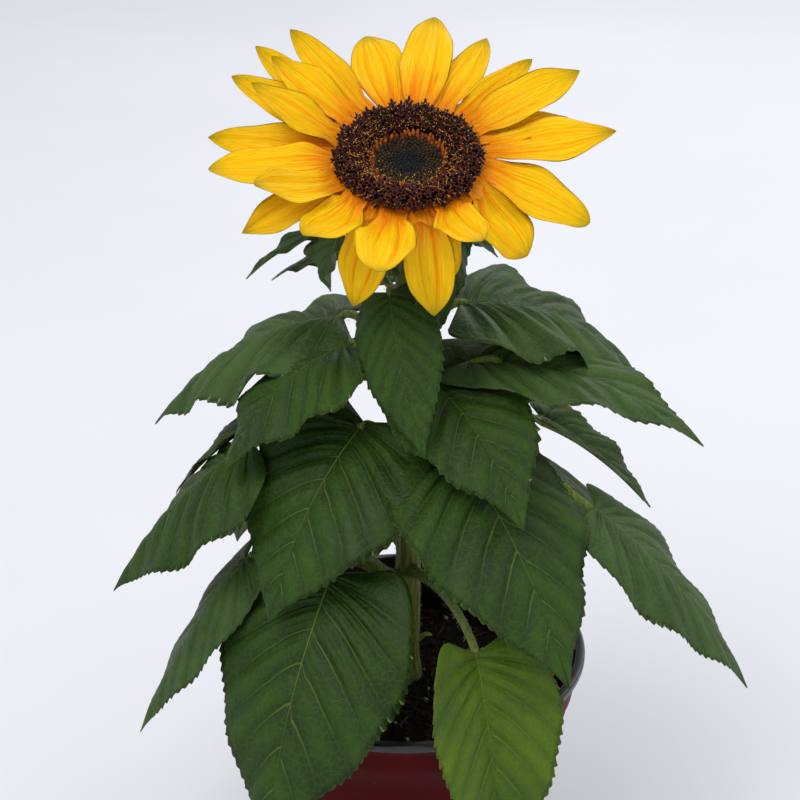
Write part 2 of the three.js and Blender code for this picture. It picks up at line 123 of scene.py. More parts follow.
# ---------------------------------------------------------------- surfaces
@dataclass
class Surface:
    """A triangle surface with a pattern, and a material for each face."""

    points: Array  # Places, one row each, in metres
    faces: Array  # Point numbers, three to a row
    pattern: Array  # Two pattern coordinates for each point
    finish: Array  # The material number of each face

    @staticmethod
    def loft(rings: Array, start: Array, end: Array, pattern: Array | None = None,
             finish: Array | None = None) -> "Surface":
        """A closed body through rings of points, drawn to a point at each end.

        Each ring joins the next by two triangles a step, and a fan joins the first and last ring
        to the end points. The faces are turned out by the sign of the enclosed volume.

        Args:
            rings: Points by ring and step, shape (rings, steps, 3).
            start: The point before the first ring.
            end: The point after the last ring.
            pattern: Pattern coordinates by ring and step, or None for ring and step shares.
            finish: A material number for each step round the ring, or None for 0.

        Returns:
            The closed surface.
        """
        count, steps = rings.shape[:2]
        if pattern is None:
            pattern = np.stack(np.meshgrid(np.linspace(0, 1, count), np.linspace(0, 1, steps),
                                           indexing="ij"), -1)
        if finish is None:
            finish = np.zeros(steps, int)
        points = np.vstack([rings.reshape(-1, 3), start, end])
        places = np.vstack([pattern.reshape(-1, 2), pattern[0].mean(0), pattern[-1].mean(0)])
        here = np.arange(steps)
        there = (here + 1) % steps
        base = np.arange(count - 1)[:, None] * steps
        a, b = base + here, base + there
        c, d = b + steps, a + steps
        bands = np.concatenate([np.stack([a, b, c], -1), np.stack([a, c, d], -1)], 1)
        band_finish = np.tile(np.concatenate([finish, finish]), count - 1)
        first, last = count * steps, count * steps + 1
        final = (count - 1) * steps
        fans = np.vstack([np.stack([there, here, np.full(steps, first)], -1),
                          np.stack([final + here, final + there, np.full(steps, last)], -1)])
        faces = np.vstack([bands.reshape(-1, 3), fans])
        finishes = np.concatenate([band_finish, finish, finish])
        return Surface(points, faces, places, finishes).turned_out()

    def turned_out(self) -> "Surface":
        """The same surface with its faces pointing out, by the sign of its volume.

        Returns:
            This surface.
        """
        a, b, c = (self.points[self.faces[:, k]] for k in range(3))
        if np.einsum("ij,ij->", a, np.cross(b, c)) < 0:
            self.faces = self.faces[:, ::-1]
        return self

    def with_finish(self, number: int) -> "Surface":
        """The same surface with every face in one material."""
        return replace(self, finish=np.full(len(self.faces), number))

    def dealt(self, origins: Array, axes: Array, sizes: Array) -> "Surface":
        """Copies of this surface, one at each origin.

        A copy's point is its origin plus the template's point, turned by the three axes and
        multiplied by the size.

        Args:
            origins: Shape (copies, 3).
            axes: Shape (copies, 3, 3); row k is where the template's axis k points.
            sizes: Shape (copies,) or (copies, 3) for a size along each axis.

        Returns:
            All the copies as one surface.
        """
        sizes = sizes[:, None] if sizes.ndim == 1 else sizes
        local = self.points[None] * sizes[:, None, :]
        points = origins[:, None, :] + np.einsum("npk,nkj->npj", local, axes)
        step = len(self.points) * np.arange(len(origins))[:, None, None]
        return Surface(points.reshape(-1, 3), (self.faces[None] + step).reshape(-1, 3),
                       np.tile(self.pattern, (len(origins), 1)),
                       np.tile(self.finish, len(origins)))

    @staticmethod
    def joined(parts: list["Surface"]) -> "Surface":
        """Several surfaces as one, with their point numbers moved on.

        Args:
            parts: The surfaces.

        Returns:
            The one surface.
        """
        starts = np.cumsum([0] + [len(p.points) for p in parts[:-1]])
        return Surface(np.vstack([p.points for p in parts]),
                       np.vstack([p.faces + s for p, s in zip(parts, starts)]),
                       np.vstack([p.pattern for p in parts]),
                       np.concatenate([p.finish for p in parts]))

    def piece(self, name: str, materials: list[Material], slot: str,
              stands_for: tuple[str, ...] = ()) -> bpy.types.Object:
        """Puts the surface into the scene as one piece that rides on the plant's body.

        Args:
            name: The piece's name.
            materials: The materials that the face numbers pick from.
            slot: Not used.
            stands_for: The solids that the piece replaces.

        Returns:
            The new object.
        """
        mesh = bpy.data.meshes.new(name)
        mesh.from_pydata(self.points, [], self.faces.tolist())
        for material in materials:
            mesh.materials.append(material)
        mesh.polygons.foreach_set("material_index", self.finish.astype(np.int32))
        mesh.polygons.foreach_set("use_smooth", np.ones(len(self.faces), bool))
        layer = mesh.uv_layers.new(name="Pattern")
        layer.data.foreach_set("uv", self.pattern[self.faces.ravel()].astype(np.float32).ravel())
        mesh.update()
        item = placed(name, mesh)
        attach(item, BODY)
        if stands_for:
            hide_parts(*stands_for)
        LOG.info("%s: %d triangles", name, len(self.faces))
        return item


def placed(name: str, data: bpy.types.ID) -> bpy.types.Object:
    """A new object that shows a mesh, curve, light or camera.

    Args:
        name: Its name.
        data: What it shows.

    Returns:
        The object, in the scene.
    """
    item = bpy.data.objects.new(name, data)
    bpy.context.scene.collection.objects.link(item)
    return item


def carried_frames(path: Array, hint: Array) -> tuple[Array, Array, Array]:
    """The tangent of a path and two directions square to it, at each of its points.

    The first direction is the hint less its part along the tangent, so the frame doesn't spin.

    Args:
        path: Points along the path.
        hint: A direction that the path never runs along.

    Returns:
        Tangents, first directions and second directions.
    """
    tangent = unit(np.gradient(path, axis=0))
    first = unit(hint - (tangent @ hint)[:, None] * tangent)
    return tangent, first, np.cross(tangent, first)


def tube(path: Array, radii: Array, sides: int, hint: Array = np.array([0.0, 1.0, 0.0]),
         relief: Array | None = None) -> Surface:
    """A round profile carried along a path: centre plus radius times cosine and sine of the turn.

    Args:
        path: Points along the middle.
        radii: The radius at each point.
        sides: Steps round the profile.
        hint: A direction that the path never runs along.
        relief: Factors on the radius by point and step, or None.

    Returns:
        A closed tube, with pattern coordinates of distance along and turn.
    """
    tangent, first, second = carried_frames(path, hint)
    turn = steps_round(sides)
    reach = radii[:, None] * (np.ones((len(path), sides)) if relief is None else relief)
    rings = (path[:, None] + (reach * np.cos(turn))[..., None] * first[:, None]
             + (reach * np.sin(turn))[..., None] * second[:, None])
    pattern = np.stack(np.broadcast_arrays(gone_along(path)[:, None], turn / (2 * math.pi)), -1)
    start = path[0] - tangent[0] * radii[0] * 0.4
    end = path[-1] + tangent[-1] * radii[-1] * 0.6
    return Surface.loft(rings, start, end, pattern)


def lathe(outline: Array, sides: int) -> Surface:
    """An outline of radius and height spun round Z; it starts and ends on the axis.

    Args:
        outline: Rows of radius and height; the first and last radius are 0.
        sides: Steps round the axis.

    Returns:
        A closed surface.
    """
    inner = outline[1:-1]
    rings = round_rings(inner[:, :1], steps_round(sides), inner[:, 1:])
    return Surface.loft(rings, UP * outline[0, 1], UP * outline[-1, 1])


def blade_shell(upper: Array, under: Array, pattern: Array, start: Array, end: Array) -> Surface:
    """A thin closed blade: the upper grid, and the under grid back again, as rings.

    Args:
        upper: Points by row and column of the upper side.
        under: The same for the under side; its edge columns are not used.
        pattern: Pattern coordinates by row and column.
        start: The point where the rows begin.
        end: The tip.

    Returns:
        The shell, with material 0 on the upper side and 1 on the under side.
    """
    columns = upper.shape[1]
    rings = np.concatenate([upper, under[:, -2:0:-1]], 1)
    places = np.concatenate([pattern, pattern[:, -2:0:-1]], 1)
    finish = np.repeat([0, 1], columns - 1)
    return Surface.loft(rings, start, end, places, finish)


def arched_blade(knots: Array, rows: Array, columns: int, hint: Array, outward: Array | None,
                 half: Callable, bow: Callable, thick: Callable) -> Surface:
    """A narrow blade along an arch: (1-t)^2, 2t(1-t) and t^2 times its three knots.

    Args:
        knots: Root, middle and tip.
        rows: Shares of the arch, one to a row.
        columns: Points across.
        hint: The direction across, which the arch never runs along.
        outward: A direction on the upper side's half, or None to take the side as it comes.
        half: Half width from the shares along.
        bow: Height of the upper side from the half widths, the shares along and across.
        thick: Thickness from the shares across.

    Returns:
        The closed blade.
    """
    weights = np.stack([(1 - rows) ** 2, 2 * rows * (1 - rows), rows ** 2], -1)
    path = weights @ knots
    _, across, normal = carried_frames(path, hint)
    if outward is not None and (normal @ outward).mean() < 0:
        normal = -normal
    v = np.linspace(-1, 1, columns)
    wide = half(rows)
    upper = (path[:, None] + across[:, None] * (wide[:, None] * v)[..., None]
             + normal[:, None] * bow(wide[:, None], rows[:, None], v)[..., None])
    under = upper - normal[:, None] * thick(v)[None, :, None]
    pattern = np.stack(np.meshgrid(rows, (v + 1) / 2, indexing="ij"), -1)
    return blade_shell(upper, under, pattern, knots[0], knots[2])


# ---------------------------------------------------------------- reading the frame
def own_points(mesh: bpy.types.Mesh, digits: int) -> tuple[Array, Array]:
    """A triangle mesh's points, each once, and its faces.

    Args:
        mesh: The mesh.
        digits: Decimals by which two points count as one.

    Returns:
        Points and faces.
    """
    points = np.empty(3 * len(mesh.vertices))
    mesh.vertices.foreach_get("co", points)
    corners = np.empty(3 * len(mesh.loop_triangles), int)
    mesh.loop_triangles.foreach_get("vertices", corners)
    once, number = np.unique(np.round(points.reshape(-1, 3), digits), axis=0, return_inverse=True)
    return once, number.reshape(-1)[corners].reshape(-1, 3)


def linked_points(node: str) -> tuple[Array, Array]:
    """A solid's own points, each once, and the square table of which share an edge.

    Args:
        node: The solid's name.

    Returns:
        Points and the table.
    """
    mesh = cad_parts[node].data
    mesh.calc_loop_triangles()
    once, faces = own_points(mesh, 6)
    linked = np.zeros((len(once), len(once)), bool)
    for a, b in ((0, 1), (1, 2), (2, 0)):
        linked[faces[:, a], faces[:, b]] = linked[faces[:, b], faces[:, a]] = True
    return once, linked


def levels(start: Array, linked: Array) -> list[Array]:
    """Points in order of how many edges away from the start they are.

    Args:
        start: Point numbers to begin with.
        linked: Square table of which points share an edge.

    Returns:
        One array of point numbers for each distance.
    """
    seen = np.zeros(len(linked), bool)
    front = seen.copy()
    front[start] = True
    found = []
    while front.any():
        found.append(np.flatnonzero(front))
        seen |= front
        front = linked[front].any(0) & ~seen
    return found


def rings_of(node: str, steps: int) -> tuple[Array, Array]:
    """The rings that a pointed solid was lofted through, from its cut end to its tip.

    The tip is the point from which every further level holds exactly one ring.

    Args:
        node: The solid's name.
        steps: How many points a ring has.

    Returns:
        Ring points, shape (rings, steps, 3), and the tip.
    """
    points, linked = linked_points(node)
    for tip in np.flatnonzero(linked.sum(0) == steps):
        found = levels(np.array([tip]), linked)
        if all(len(level) == steps for level in found[1:]):
            return points[np.array(found[:0:-1])], points[tip]
    raise ValueError(f"{node} has no tip with rings of {steps} points")


@dataclass
class Midline:
    """A blade's midline and the direction across it, as curves of the share of its length."""

    centre: Array  # Polynomial for each coordinate of the middle
    side: Array  # Polynomial for each coordinate of the direction across
    length: float  # Length of the midline
    half: float  # The widest half width
    rise: float  # How steeply the two halves rise from flat, in radians

    @staticmethod
    def of(rings: Array, tip: Array, upward: Array) -> "Midline":
        """Reads the midline out of a blade's rings.

        A ring's two edges are its farthest pair of points. The middle is the mean of the points
        nearest to halfway across, two on a ribbed ring and four on a flat one, and the halves'
        rise is how far the edges stand above it.

        Args:
            rings: The blade's rings from its base to its tip.
            tip: The tip.
            upward: A direction on the upper side's half.

        Returns:
            The midline.
        """
        apart = np.linalg.norm(rings[:, :, None] - rings[:, None], axis=-1)
        pair = apart.reshape(len(rings), -1).argmax(1)
        rows = np.arange(len(rings))
        one, two = rings[rows, pair // rings.shape[1]], rings[rows, pair % rings.shape[1]]
        swap = np.einsum("ij,j->i", one - two, (one - two)[len(rings) // 2]) < 0
        one[swap], two[swap] = two[swap], one[swap].copy()
        across = unit(one - two)
        offset = np.einsum("nkj,nj->nk", rings - ((one + two) / 2)[:, None], across)
        ribs = 2 if rings.shape[1] % 4 == 0 else 4
        middle = np.argsort(np.abs(offset), axis=1)[:, :ribs]
        centres = rings[rows[:, None], middle].mean(1)
        path = np.vstack([centres, tip])
        gone = gone_along(path)
        share = gone / gone[-1]
        centre = np.polyfit(share, path, 4)
        side = np.polyfit(share[:-1], across, 2)
        line = Midline(centre, side, float(gone[-1]), 0.0, 0.0)
        if (line.at(share[:-1])[3] @ upward).mean() < 0:
            line.side = -side
        normal = line.at(share[:-1])[3]
        widest = apart.max((1, 2)).argmax()
        lift = float(((one + two) / 2 - centres)[widest] @ normal[widest])
        line.half = math.hypot(float(apart.max()) / 2, lift)
        line.rise = math.asin(lift / line.half)
        return line

    def at(self, share: Array) -> tuple[Array, Array, Array, Array]:
        """The midline at shares of its length; beyond its ends it runs straight on.

        Args:
            share: Shares, in any shape.

        Returns:
            Middle, tangent, direction across and upper normal, each in that shape with 3 more.
        """
        powers = np.arange(len(self.centre) - 1, 0, -1)
        held = np.clip(share, 0.0, 1.0)
        fit = lambda table: np.stack([np.polyval(table[:, k], held) for k in range(3)], -1)
        tangent = unit(fit(self.centre[:-1] * powers[:, None]))
        side = fit(self.side)
        side = unit(side - (side * tangent).sum(-1, keepdims=True) * tangent)
        middle = fit(self.centre) + tangent * ((share - held) * self.length)[..., None]
        return middle, tangent, side, np.cross(tangent, side)


@dataclass
class HeadFrame:
    """Where the flower head is and which way it looks, read from the disc's solid."""

    centre: Array  # The middle of the disc's rim plane
    out: Array  # The way the face looks
    radius: float  # The disc's greatest radius
    outline: Array  # Rows of radius and height of its upper side, from the axis out to the rim

    @staticmethod
    def read() -> "HeadFrame":
        """Finds the axis as the direction in which the disc's points spread least.

        Returns:
            The frame of the solid disc.
        """
        points, _ = linked_points("disc")
        middle = points.mean(0)
        out = np.linalg.svd(points - middle)[2][-1]
        out = out if out[2] > 0 else -out
        height = (points - middle) @ out
        reach = np.linalg.norm(points - middle - height[:, None] * out, axis=1)
        rim = height[reach.argmax()]
        upper = height >= rim - 1e-5
        rows = np.unique(np.round(np.stack([reach, height - rim], -1)[upper], 4), axis=0)
        pole = height[reach < MM].max() - rim
        outline = np.vstack([[0.0, pole], rows[rows[:, 0] > MM]])
        return HeadFrame(middle + rim * out, out, float(reach.max()), outline)

    def leaned_back(self, angle: float, drop: float) -> "HeadFrame":
        """The frame turned to look higher, and lowered.

        Args:
            angle: Turn towards the sky in radians.
            drop: Distance down.

        Returns:
            The new frame.
        """
        ways = [self.out * math.cos(angle) + self.back * math.sin(way) for way in (-angle, angle)]
        out = max(ways, key=lambda way: way[2])
        return replace(self, centre=self.centre - UP * drop, out=out)

    @property
    def right(self) -> Array:
        """The direction in the face towards the plant's right."""
        return unit(np.cross(np.array([0.0, 1.0, 0.0]), self.out))

    @property
    def back(self) -> Array:
        """The direction in the face that climbs."""
        return np.cross(self.out, self.right)

    def height(self, radius: Array) -> Array:
        """How high the disc's surface stands above the rim plane at a radius."""
        return np.interp(radius, self.outline[:, 0], self.outline[:, 1])

    def place(self, radius: Array, turn: Array, height: Array) -> Array:
        """A point of the head from its radius, turn and height above the rim plane."""
        return (self.centre + radius[..., None] * self.outward(turn)
                + height[..., None] * self.out)

    def outward(self, turn: Array) -> Array:
        """The level direction of the head's plane at a turn."""
        return np.cos(turn)[..., None] * self.right + np.sin(turn)[..., None] * self.back


# ---------------------------------------------------------------- material tools
class Graph:
    """Adds nodes to a shader tree and joins them."""

    def __init__(self, tree: Tree) -> None:
        """Keeps the tree that nodes are added to."""
        self.tree = tree

    def node(self, kind: str, inputs: dict | None = None, **settings) -> Node:
        """Adds a node.

        Args:
            kind: The node's type, without its "ShaderNode" start.
            inputs: Socket names or numbers, each with a value or with the socket that feeds it.
            settings: Properties of the node itself.

        Returns:
            The node.
        """
        made = self.tree.nodes.new("ShaderNode" + kind)
        for key, value in settings.items():
            setattr(made, key, value)
        for key, value in (inputs or {}).items():
            if isinstance(value, Socket):
                self.tree.links.new(value, made.inputs[key])
            else:
                made.inputs[key].default_value = value
        return made

    def group(self, tree: Tree, **inputs) -> Node:
        """Places a shared group, with its inputs by name."""
        return self.node("Group", inputs, node_tree=tree)

    def times(self, one: Value, two: Value) -> Socket:
        """The product of two values."""
        return self.math("MULTIPLY", one, two)

    def times_plus(self, one: Value, two: Value, three: Value) -> Socket:
        """The product of two values, and a third on top."""
        return self.math("MULTIPLY_ADD", one, two, three)

    def math(self, operation: str, *values: Value) -> Socket:
        """The result of a sum on one to three values or sockets."""
        return self.node("Math", dict(enumerate(values)), operation=operation).outputs[0]

    def span(self, value: Socket, low: float, high: float, to_low: float = 0.0,
             to_high: float = 1.0) -> Socket:
        """A value carried smoothly from one span to another, and held at its ends."""
        inputs = {0: value, 1: low, 2: high, 3: to_low, 4: to_high}
        return self.node("MapRange", inputs, interpolation_type="SMOOTHSTEP").outputs[0]

    def mix(self, share: Value, one: Socket | tuple, two: Socket | tuple) -> Socket:
        """A colour between two colours."""
        inputs = {0: share, 6: one, 7: two}
        return self.node("Mix", inputs, data_type="RGBA").outputs[2]

    def noise(self, vector: Socket, scale: Value, detail: float = 3.0,
              roughness: float = 0.55) -> Socket:
        """Soft noise from 0 to 1 at some waves to the metre."""
        inputs = {"Vector": vector, "Scale": scale, "Detail": detail, "Roughness": roughness}
        return self.node("TexNoise", inputs).outputs[0]

    def object_place(self) -> Socket:
        """The place on the piece in metres."""
        return self.node("TexCoord").outputs["Object"]

    def pattern(self) -> tuple[Socket, Socket]:
        """The two pattern coordinates of the piece."""
        place = self.node("UVMap", uv_map="Pattern").outputs[0]
        split = self.node("SeparateXYZ", {0: place})
        return split.outputs[0], split.outputs[1]


def shade(colour: Colour) -> tuple[float, float, float, float]:
    """A colour named by its screen values from 0 to 255, as light values."""
    linear = ((c / 255.0 + 0.055) / 1.055 if c > 10 else c / 255.0 / 12.92 for c in colour)
    return (*(x ** 2.4 if c > 10 else x for x, c in zip(linear, colour)), 1.0)


def shared_group(name: str, inputs: dict[str, str], outputs: dict[str, str]
                 ) -> tuple[Tree, Graph, dict, dict]:
    """A new node group with its sockets.

    Args:
        name: The group's name.
        inputs: Socket names with their kinds, Float, Vector or Color.
        outputs: The same for what comes out.

    Returns:
        The group, its graph, the sockets that come in and the sockets to feed.
    """
    tree = bpy.data.node_groups.new(name, "ShaderNodeTree")
    for way, sockets in (("INPUT", inputs), ("OUTPUT", outputs)):
        for label, kind in sockets.items():
            tree.interface.new_socket(label, in_out=way, socket_type="NodeSocket" + kind)
    source = tree.nodes.new("NodeGroupInput")
    drain = tree.nodes.new("NodeGroupOutput")
    incoming = {label: source.outputs[label] for label in inputs}
    return tree, Graph(tree), incoming, {label: drain.inputs[label] for label in outputs}


class Effects:
    """The node groups that several finishes share."""

    def __init__(self) -> None:
        """Builds each group once."""
        self.grain = self._grain()
        self.net = self._net()
        self.streaks = self._streaks()

    @staticmethod
    def _grain() -> Tree:
        """Uneven tone: coarse noise for the tone, and fine noise for the height.

        Returns:
            The group.
        """
        tree, graph, come, go = shared_group(
            "Grain", {"Place": "Vector", "Coarse": "Float", "Fine": "Float"},
            {"Tone": "Float", "Height": "Float"})
        tone = graph.noise(come["Place"], come["Coarse"], 4.0)
        fine = graph.noise(come["Place"], come["Fine"], 2.0)
        tree.links.new(graph.span(tone, 0.3, 0.7), go["Tone"])
        tree.links.new(fine, go["Height"])
        return tree

    @staticmethod
    def _net() -> Tree:
        """A net of small veins: the nearness to the edge of chance cells.

        Returns:
            The group.
        """
        tree, graph, come, go = shared_group(
            "Vein net", {"Place": "Vector", "Scale": "Float"},
            {"Line": "Float", "Pillow": "Float"})
        wander = graph.node("TexNoise", {"Vector": come["Place"], "Scale": 160.0}).outputs[1]
        shift = graph.node("VectorMath", {0: wander, 3: 0.0022}, operation="SCALE").outputs[0]
        place = graph.node("VectorMath", {0: come["Place"], 1: shift}, operation="ADD").outputs[0]
        cell = graph.node("TexVoronoi", {"Vector": place, "Scale": come["Scale"]},
                          feature="DISTANCE_TO_EDGE").outputs["Distance"]
        tree.links.new(graph.span(cell, 0.0, 0.09, 1.0, 0.0), go["Line"])
        tree.links.new(graph.span(cell, 0.0, 0.42), go["Pillow"])
        return tree

    @staticmethod
    def _streaks() -> Tree:
        """Lines that run along a piece: noise drawn out in its first pattern coordinate.

        Returns:
            The group.
        """
        tree, graph, come, go = shared_group(
            "Streaks", {"Along": "Float", "Across": "Float", "Count": "Float"},
            {"Line": "Float"})
        across = graph.times(come["Across"], come["Count"])
        place = graph.node("CombineXYZ", {0: come["Along"], 1: across}).outputs[0]
        tree.links.new(graph.span(graph.noise(place, 1.0, 3.0, 0.6), 0.36, 0.64), go["Line"])
        return tree


EFFECTS: Effects


@dataclass(frozen=True)
class Gloss:
    """What a surface does with light apart from its colour."""

    roughness: float = 0.5  # The shader's base roughness
    specular: float = 0.4  # How strongly it mirrors
    sheen: float = 0.0  # Strength of the soft light that down gives
    coat: float = 0.0  # Strength of a clear coat
    bump: float = 0.0003  # Height of the relief in metres


def dressed(name: str, gloss: Gloss) -> tuple[Material, Graph, Node]:
    """A new material with its shader.

    Args:
        name: The material's name.
        gloss: Its gloss.

    Returns:
        The material, its graph and its Principled shader.
    """
    material = bpy.data.materials.new(name)
    material.use_nodes = True
    graph = Graph(material.node_tree)
    shader = material.node_tree.nodes["Principled BSDF"]
    shader.inputs["Roughness"].default_value = gloss.roughness
    shader.inputs["Specular IOR Level"].default_value = gloss.specular
    shader.inputs["Sheen Weight"].default_value = gloss.sheen
    shader.inputs["Sheen Roughness"].default_value = 0.5
    shader.inputs["Coat Weight"].default_value = gloss.coat
    return material, graph, shader


def finish_off(graph: Graph, shader: Node, colour: Socket, height: Socket, gloss: Gloss,
               roughness: Socket | None = None) -> None:
    """Feeds a shader its colour, relief and, if it varies, its roughness.

    Args:
        graph: The material's graph.
        shader: Its shader.
        colour: The base colour.
        height: The relief, from 0 to 1.
        gloss: Whose bump gives the relief its height.
        roughness: The varying roughness, or None.
    """
    graph.tree.links.new(colour, shader.inputs["Base Color"])
    bump = graph.node("Bump", {"Height": height, "Strength": 1.0, "Distance": gloss.bump})
    graph.tree.links.new(bump.outputs[0], shader.inputs["Normal"])
    if roughness is not None:
        graph.tree.links.new(roughness, shader.inputs["Roughness"])


VEIN_ROWS = 10.0  # the leaf pattern's first coordinate is the vein number over this


@dataclass(frozen=True)
class LeafFinish:
    """One side of a leaf: blade colour, painted shade and highlight, paler veins, quilted relief
    and a pale rim.
    """

    name: str
    deep: Colour  # Colour of the darker patches
    light: Colour  # Colour of the lighter patches
    vein: Colour  # Colour of the veins
    raised: float = -1.0  # 1 where veins stand up, -1 where they are sunk
    gloss: Gloss = Gloss(0.56, 0.22, bump=0.0005)

    def make(self) -> Material:
        """Builds the material.

        Returns:
            The material.
        """
        material, graph, shader = dressed(self.name, self.gloss)
        place = graph.object_place()
        row, column = graph.pattern()
        wobble = graph.times_plus(graph.noise(place, 70.0, 2.0), 0.16, -0.08)
        phase = graph.times_plus(row, VEIN_ROWS, wobble)
        nearness = graph.math("PINGPONG", graph.math("ADD", phase, 0.5), 0.5)
        side = graph.math("ABSOLUTE", graph.times_plus(column, 2.0, -1.0))
        lateral = graph.times(graph.span(nearness, 0.445, 0.492),
                              graph.span(side, 0.10, 0.90, 0.62, 0.05))
        midrib = graph.span(side, 0.003, 0.014, 1.0, 0.0)
        veins = graph.math("MAXIMUM", lateral, midrib)
        net = graph.group(EFFECTS.net, Place=place, Scale=330.0)
        grain = graph.group(EFFECTS.grain, Place=place, Coarse=38.0, Fine=2600.0)
        lines = graph.times(net.outputs["Line"], 0.09)
        rim = graph.times(graph.span(side, 0.97, 1.0), 0.35)
        # painted highlight: lighter patches on the raised crowns between the veins, broken up by
        # noise
        crown_highlight = graph.times(graph.span(nearness, 0.0, 0.42, 0.55, 0.0),
                            graph.noise(place, 190.0, 3.0))
        tone = graph.times_plus(grain.outputs["Tone"], 0.75, crown_highlight)
        colour = graph.mix(tone, shade(self.deep), shade(self.light))
        # painted shade: the blade darkens beside the sunk veins
        shadow = graph.mix(graph.span(nearness, 0.34, 0.47), colour,
                           graph.mix(0.5, colour, shade(self.deep)))
        colour = graph.mix(graph.math("MAXIMUM", lines, rim), shadow, shade(self.vein))
        colour = graph.mix(graph.times(veins, 0.62), colour, shade(self.vein))
        relief = graph.math("MAXIMUM", veins, graph.times(net.outputs["Line"], 0.12))
        height = graph.times(relief, self.raised)
        height = graph.times_plus(net.outputs["Pillow"], 0.14, height)
        height = graph.times_plus(grain.outputs["Height"], 0.10, height)
        rough = graph.span(grain.outputs["Tone"], 0.0, 1.0, self.gloss.roughness - 0.07,
                           self.gloss.roughness + 0.08)
        finish_off(graph, shader, colour, height, self.gloss, rough)
        return material


@dataclass(frozen=True)
class PetalFinish:
    """One side of a petal: orange at the base, yellow beyond, painted olive shade at the tip, with
    fine lines along it.
    """

    name: str
    base: Colour  # Colour at the root
    body: Colour  # Colour of the blade
    tip: Colour  # Painted olive shade at the very tip
    line: Colour  # Colour in the lines
    gloss: Gloss = Gloss(0.55, 0.18, bump=0.00028)

    def make(self) -> Material:
        """Builds the material.

        Returns:
            The material.
        """
        material, graph, shader = dressed(self.name, self.gloss)
        place = graph.object_place()
        along, across = graph.pattern()
        fine, broad = (graph.group(EFFECTS.streaks, Along=graph.times(along, pace),
                                   Across=across, Count=count).outputs[0]
                       for pace, count in ((2.2, 34.0), (1.3, 9.0)))
        grain = graph.group(EFFECTS.grain, Place=place, Coarse=60.0, Fine=2400.0)
        uneven = graph.times_plus(broad, 0.16, along)
        colour = graph.mix(graph.span(uneven, 0.10, 0.58), shade(self.base), shade(self.body))
        column = graph.math("FRACT", across)
        wander = graph.times_plus(graph.noise(place, 120.0, 2.0), 0.07, -0.035)
        aside = graph.math("ABSOLUTE", graph.math("ADD", graph.math("SUBTRACT", column, 0.5),
                                                  wander))
        off = graph.math("ABSOLUTE", graph.math("SUBTRACT", aside, 0.17))
        furrow = graph.times(graph.span(off, 0.0, 0.045, 1.0, 0.0),
                             graph.span(along, 0.12, 0.85, 0.75, 0.12))
        colour = graph.mix(furrow, colour, shade(self.base))
        # painted shade: the tip turns olive
        colour = graph.mix(graph.span(along, 0.86, 1.0, 0.0, 0.7), colour, shade(self.tip))
        lines = graph.times(fine, graph.span(along, 0.2, 0.95, 0.34, 0.14))
        colour = graph.mix(lines, colour, shade(self.line))
        colour = graph.mix(graph.times(grain.outputs["Tone"], 0.10), colour, shade(self.line))
        height = graph.times_plus(fine, -0.7, graph.times(broad, -0.9))
        height = graph.times_plus(grain.outputs["Height"], 0.12, height)
        finish_off(graph, shader, colour, height, self.gloss)
        return material


@dataclass(frozen=True)
class GrainFinish:
    """A plain finish of two mottled colours with a fine relief, for florets, soil and plastic."""

    name: str
    deep: Colour  # The darker colour
    light: Colour  # The lighter colour
    coarse: float = 300.0  # Mottling waves to the metre
    fine: float = 2500.0  # Relief waves to the metre
    gloss: Gloss = Gloss(0.6, 0.35)
    tip: Colour | None = None  # Colour towards the far end of each piece, or None
    tip_from: float = 0.7  # Pattern share where the tip colour begins

    def make(self) -> Material:
        """Builds the material.

        Returns:
            The material.
        """
        material, graph, shader = dressed(self.name, self.gloss)
        grain = graph.group(EFFECTS.grain, Place=graph.object_place(), Coarse=self.coarse,
                            Fine=self.fine)
        colour = graph.mix(grain.outputs["Tone"], shade(self.deep), shade(self.light))
        if self.tip is not None:
            along, _ = graph.pattern()
            reach = graph.span(along, self.tip_from, min(self.tip_from + 0.25, 1.0))
            colour = graph.mix(reach, colour, shade(self.tip))
        rough = graph.span(grain.outputs["Tone"], 0.0, 1.0, self.gloss.roughness - 0.06,
                           self.gloss.roughness + 0.08)
        finish_off(graph, shader, colour, grain.outputs["Height"], self.gloss, rough)
        return material


@dataclass(frozen=True)
class StalkFinish:
    """A green stem or stalk: paler and darker lines along it, with a tinge here and there."""

    name: str
    deep: Colour  # Colour of the grooves
    light: Colour  # Colour of the ridges
    tinge: Colour  # Colour of the patches
    gloss: Gloss = Gloss(0.52, 0.25, 0.1, 0.0, 0.0004)

    def make(self) -> Material:
        """Builds the material.

        Returns:
            The material.
        """
        material, graph, shader = dressed(self.name, self.gloss)
        place = graph.object_place()
        drawn = graph.node("Mapping", {"Vector": place, "Scale": (1.0, 1.0, 0.07)}).outputs[0]
        lines = graph.span(graph.noise(drawn, 900.0, 3.0), 0.35, 0.65)
        grain = graph.group(EFFECTS.grain, Place=place, Coarse=55.0, Fine=3000.0)
        colour = graph.mix(lines, shade(self.deep), shade(self.light))
        colour = graph.mix(graph.times(grain.outputs["Tone"], 0.45), colour, shade(self.tinge))
        height = graph.times_plus(grain.outputs["Height"], 0.3, lines)
        finish_off(graph, shader, colour, height, self.gloss)
        return material


# ---------------------------------------------------------------- leaves
class Age(Enum):
    """How old a leaf is, which picks its colours."""

    OLD = "old"
    GROWN = "grown"
    YOUNG = "young"


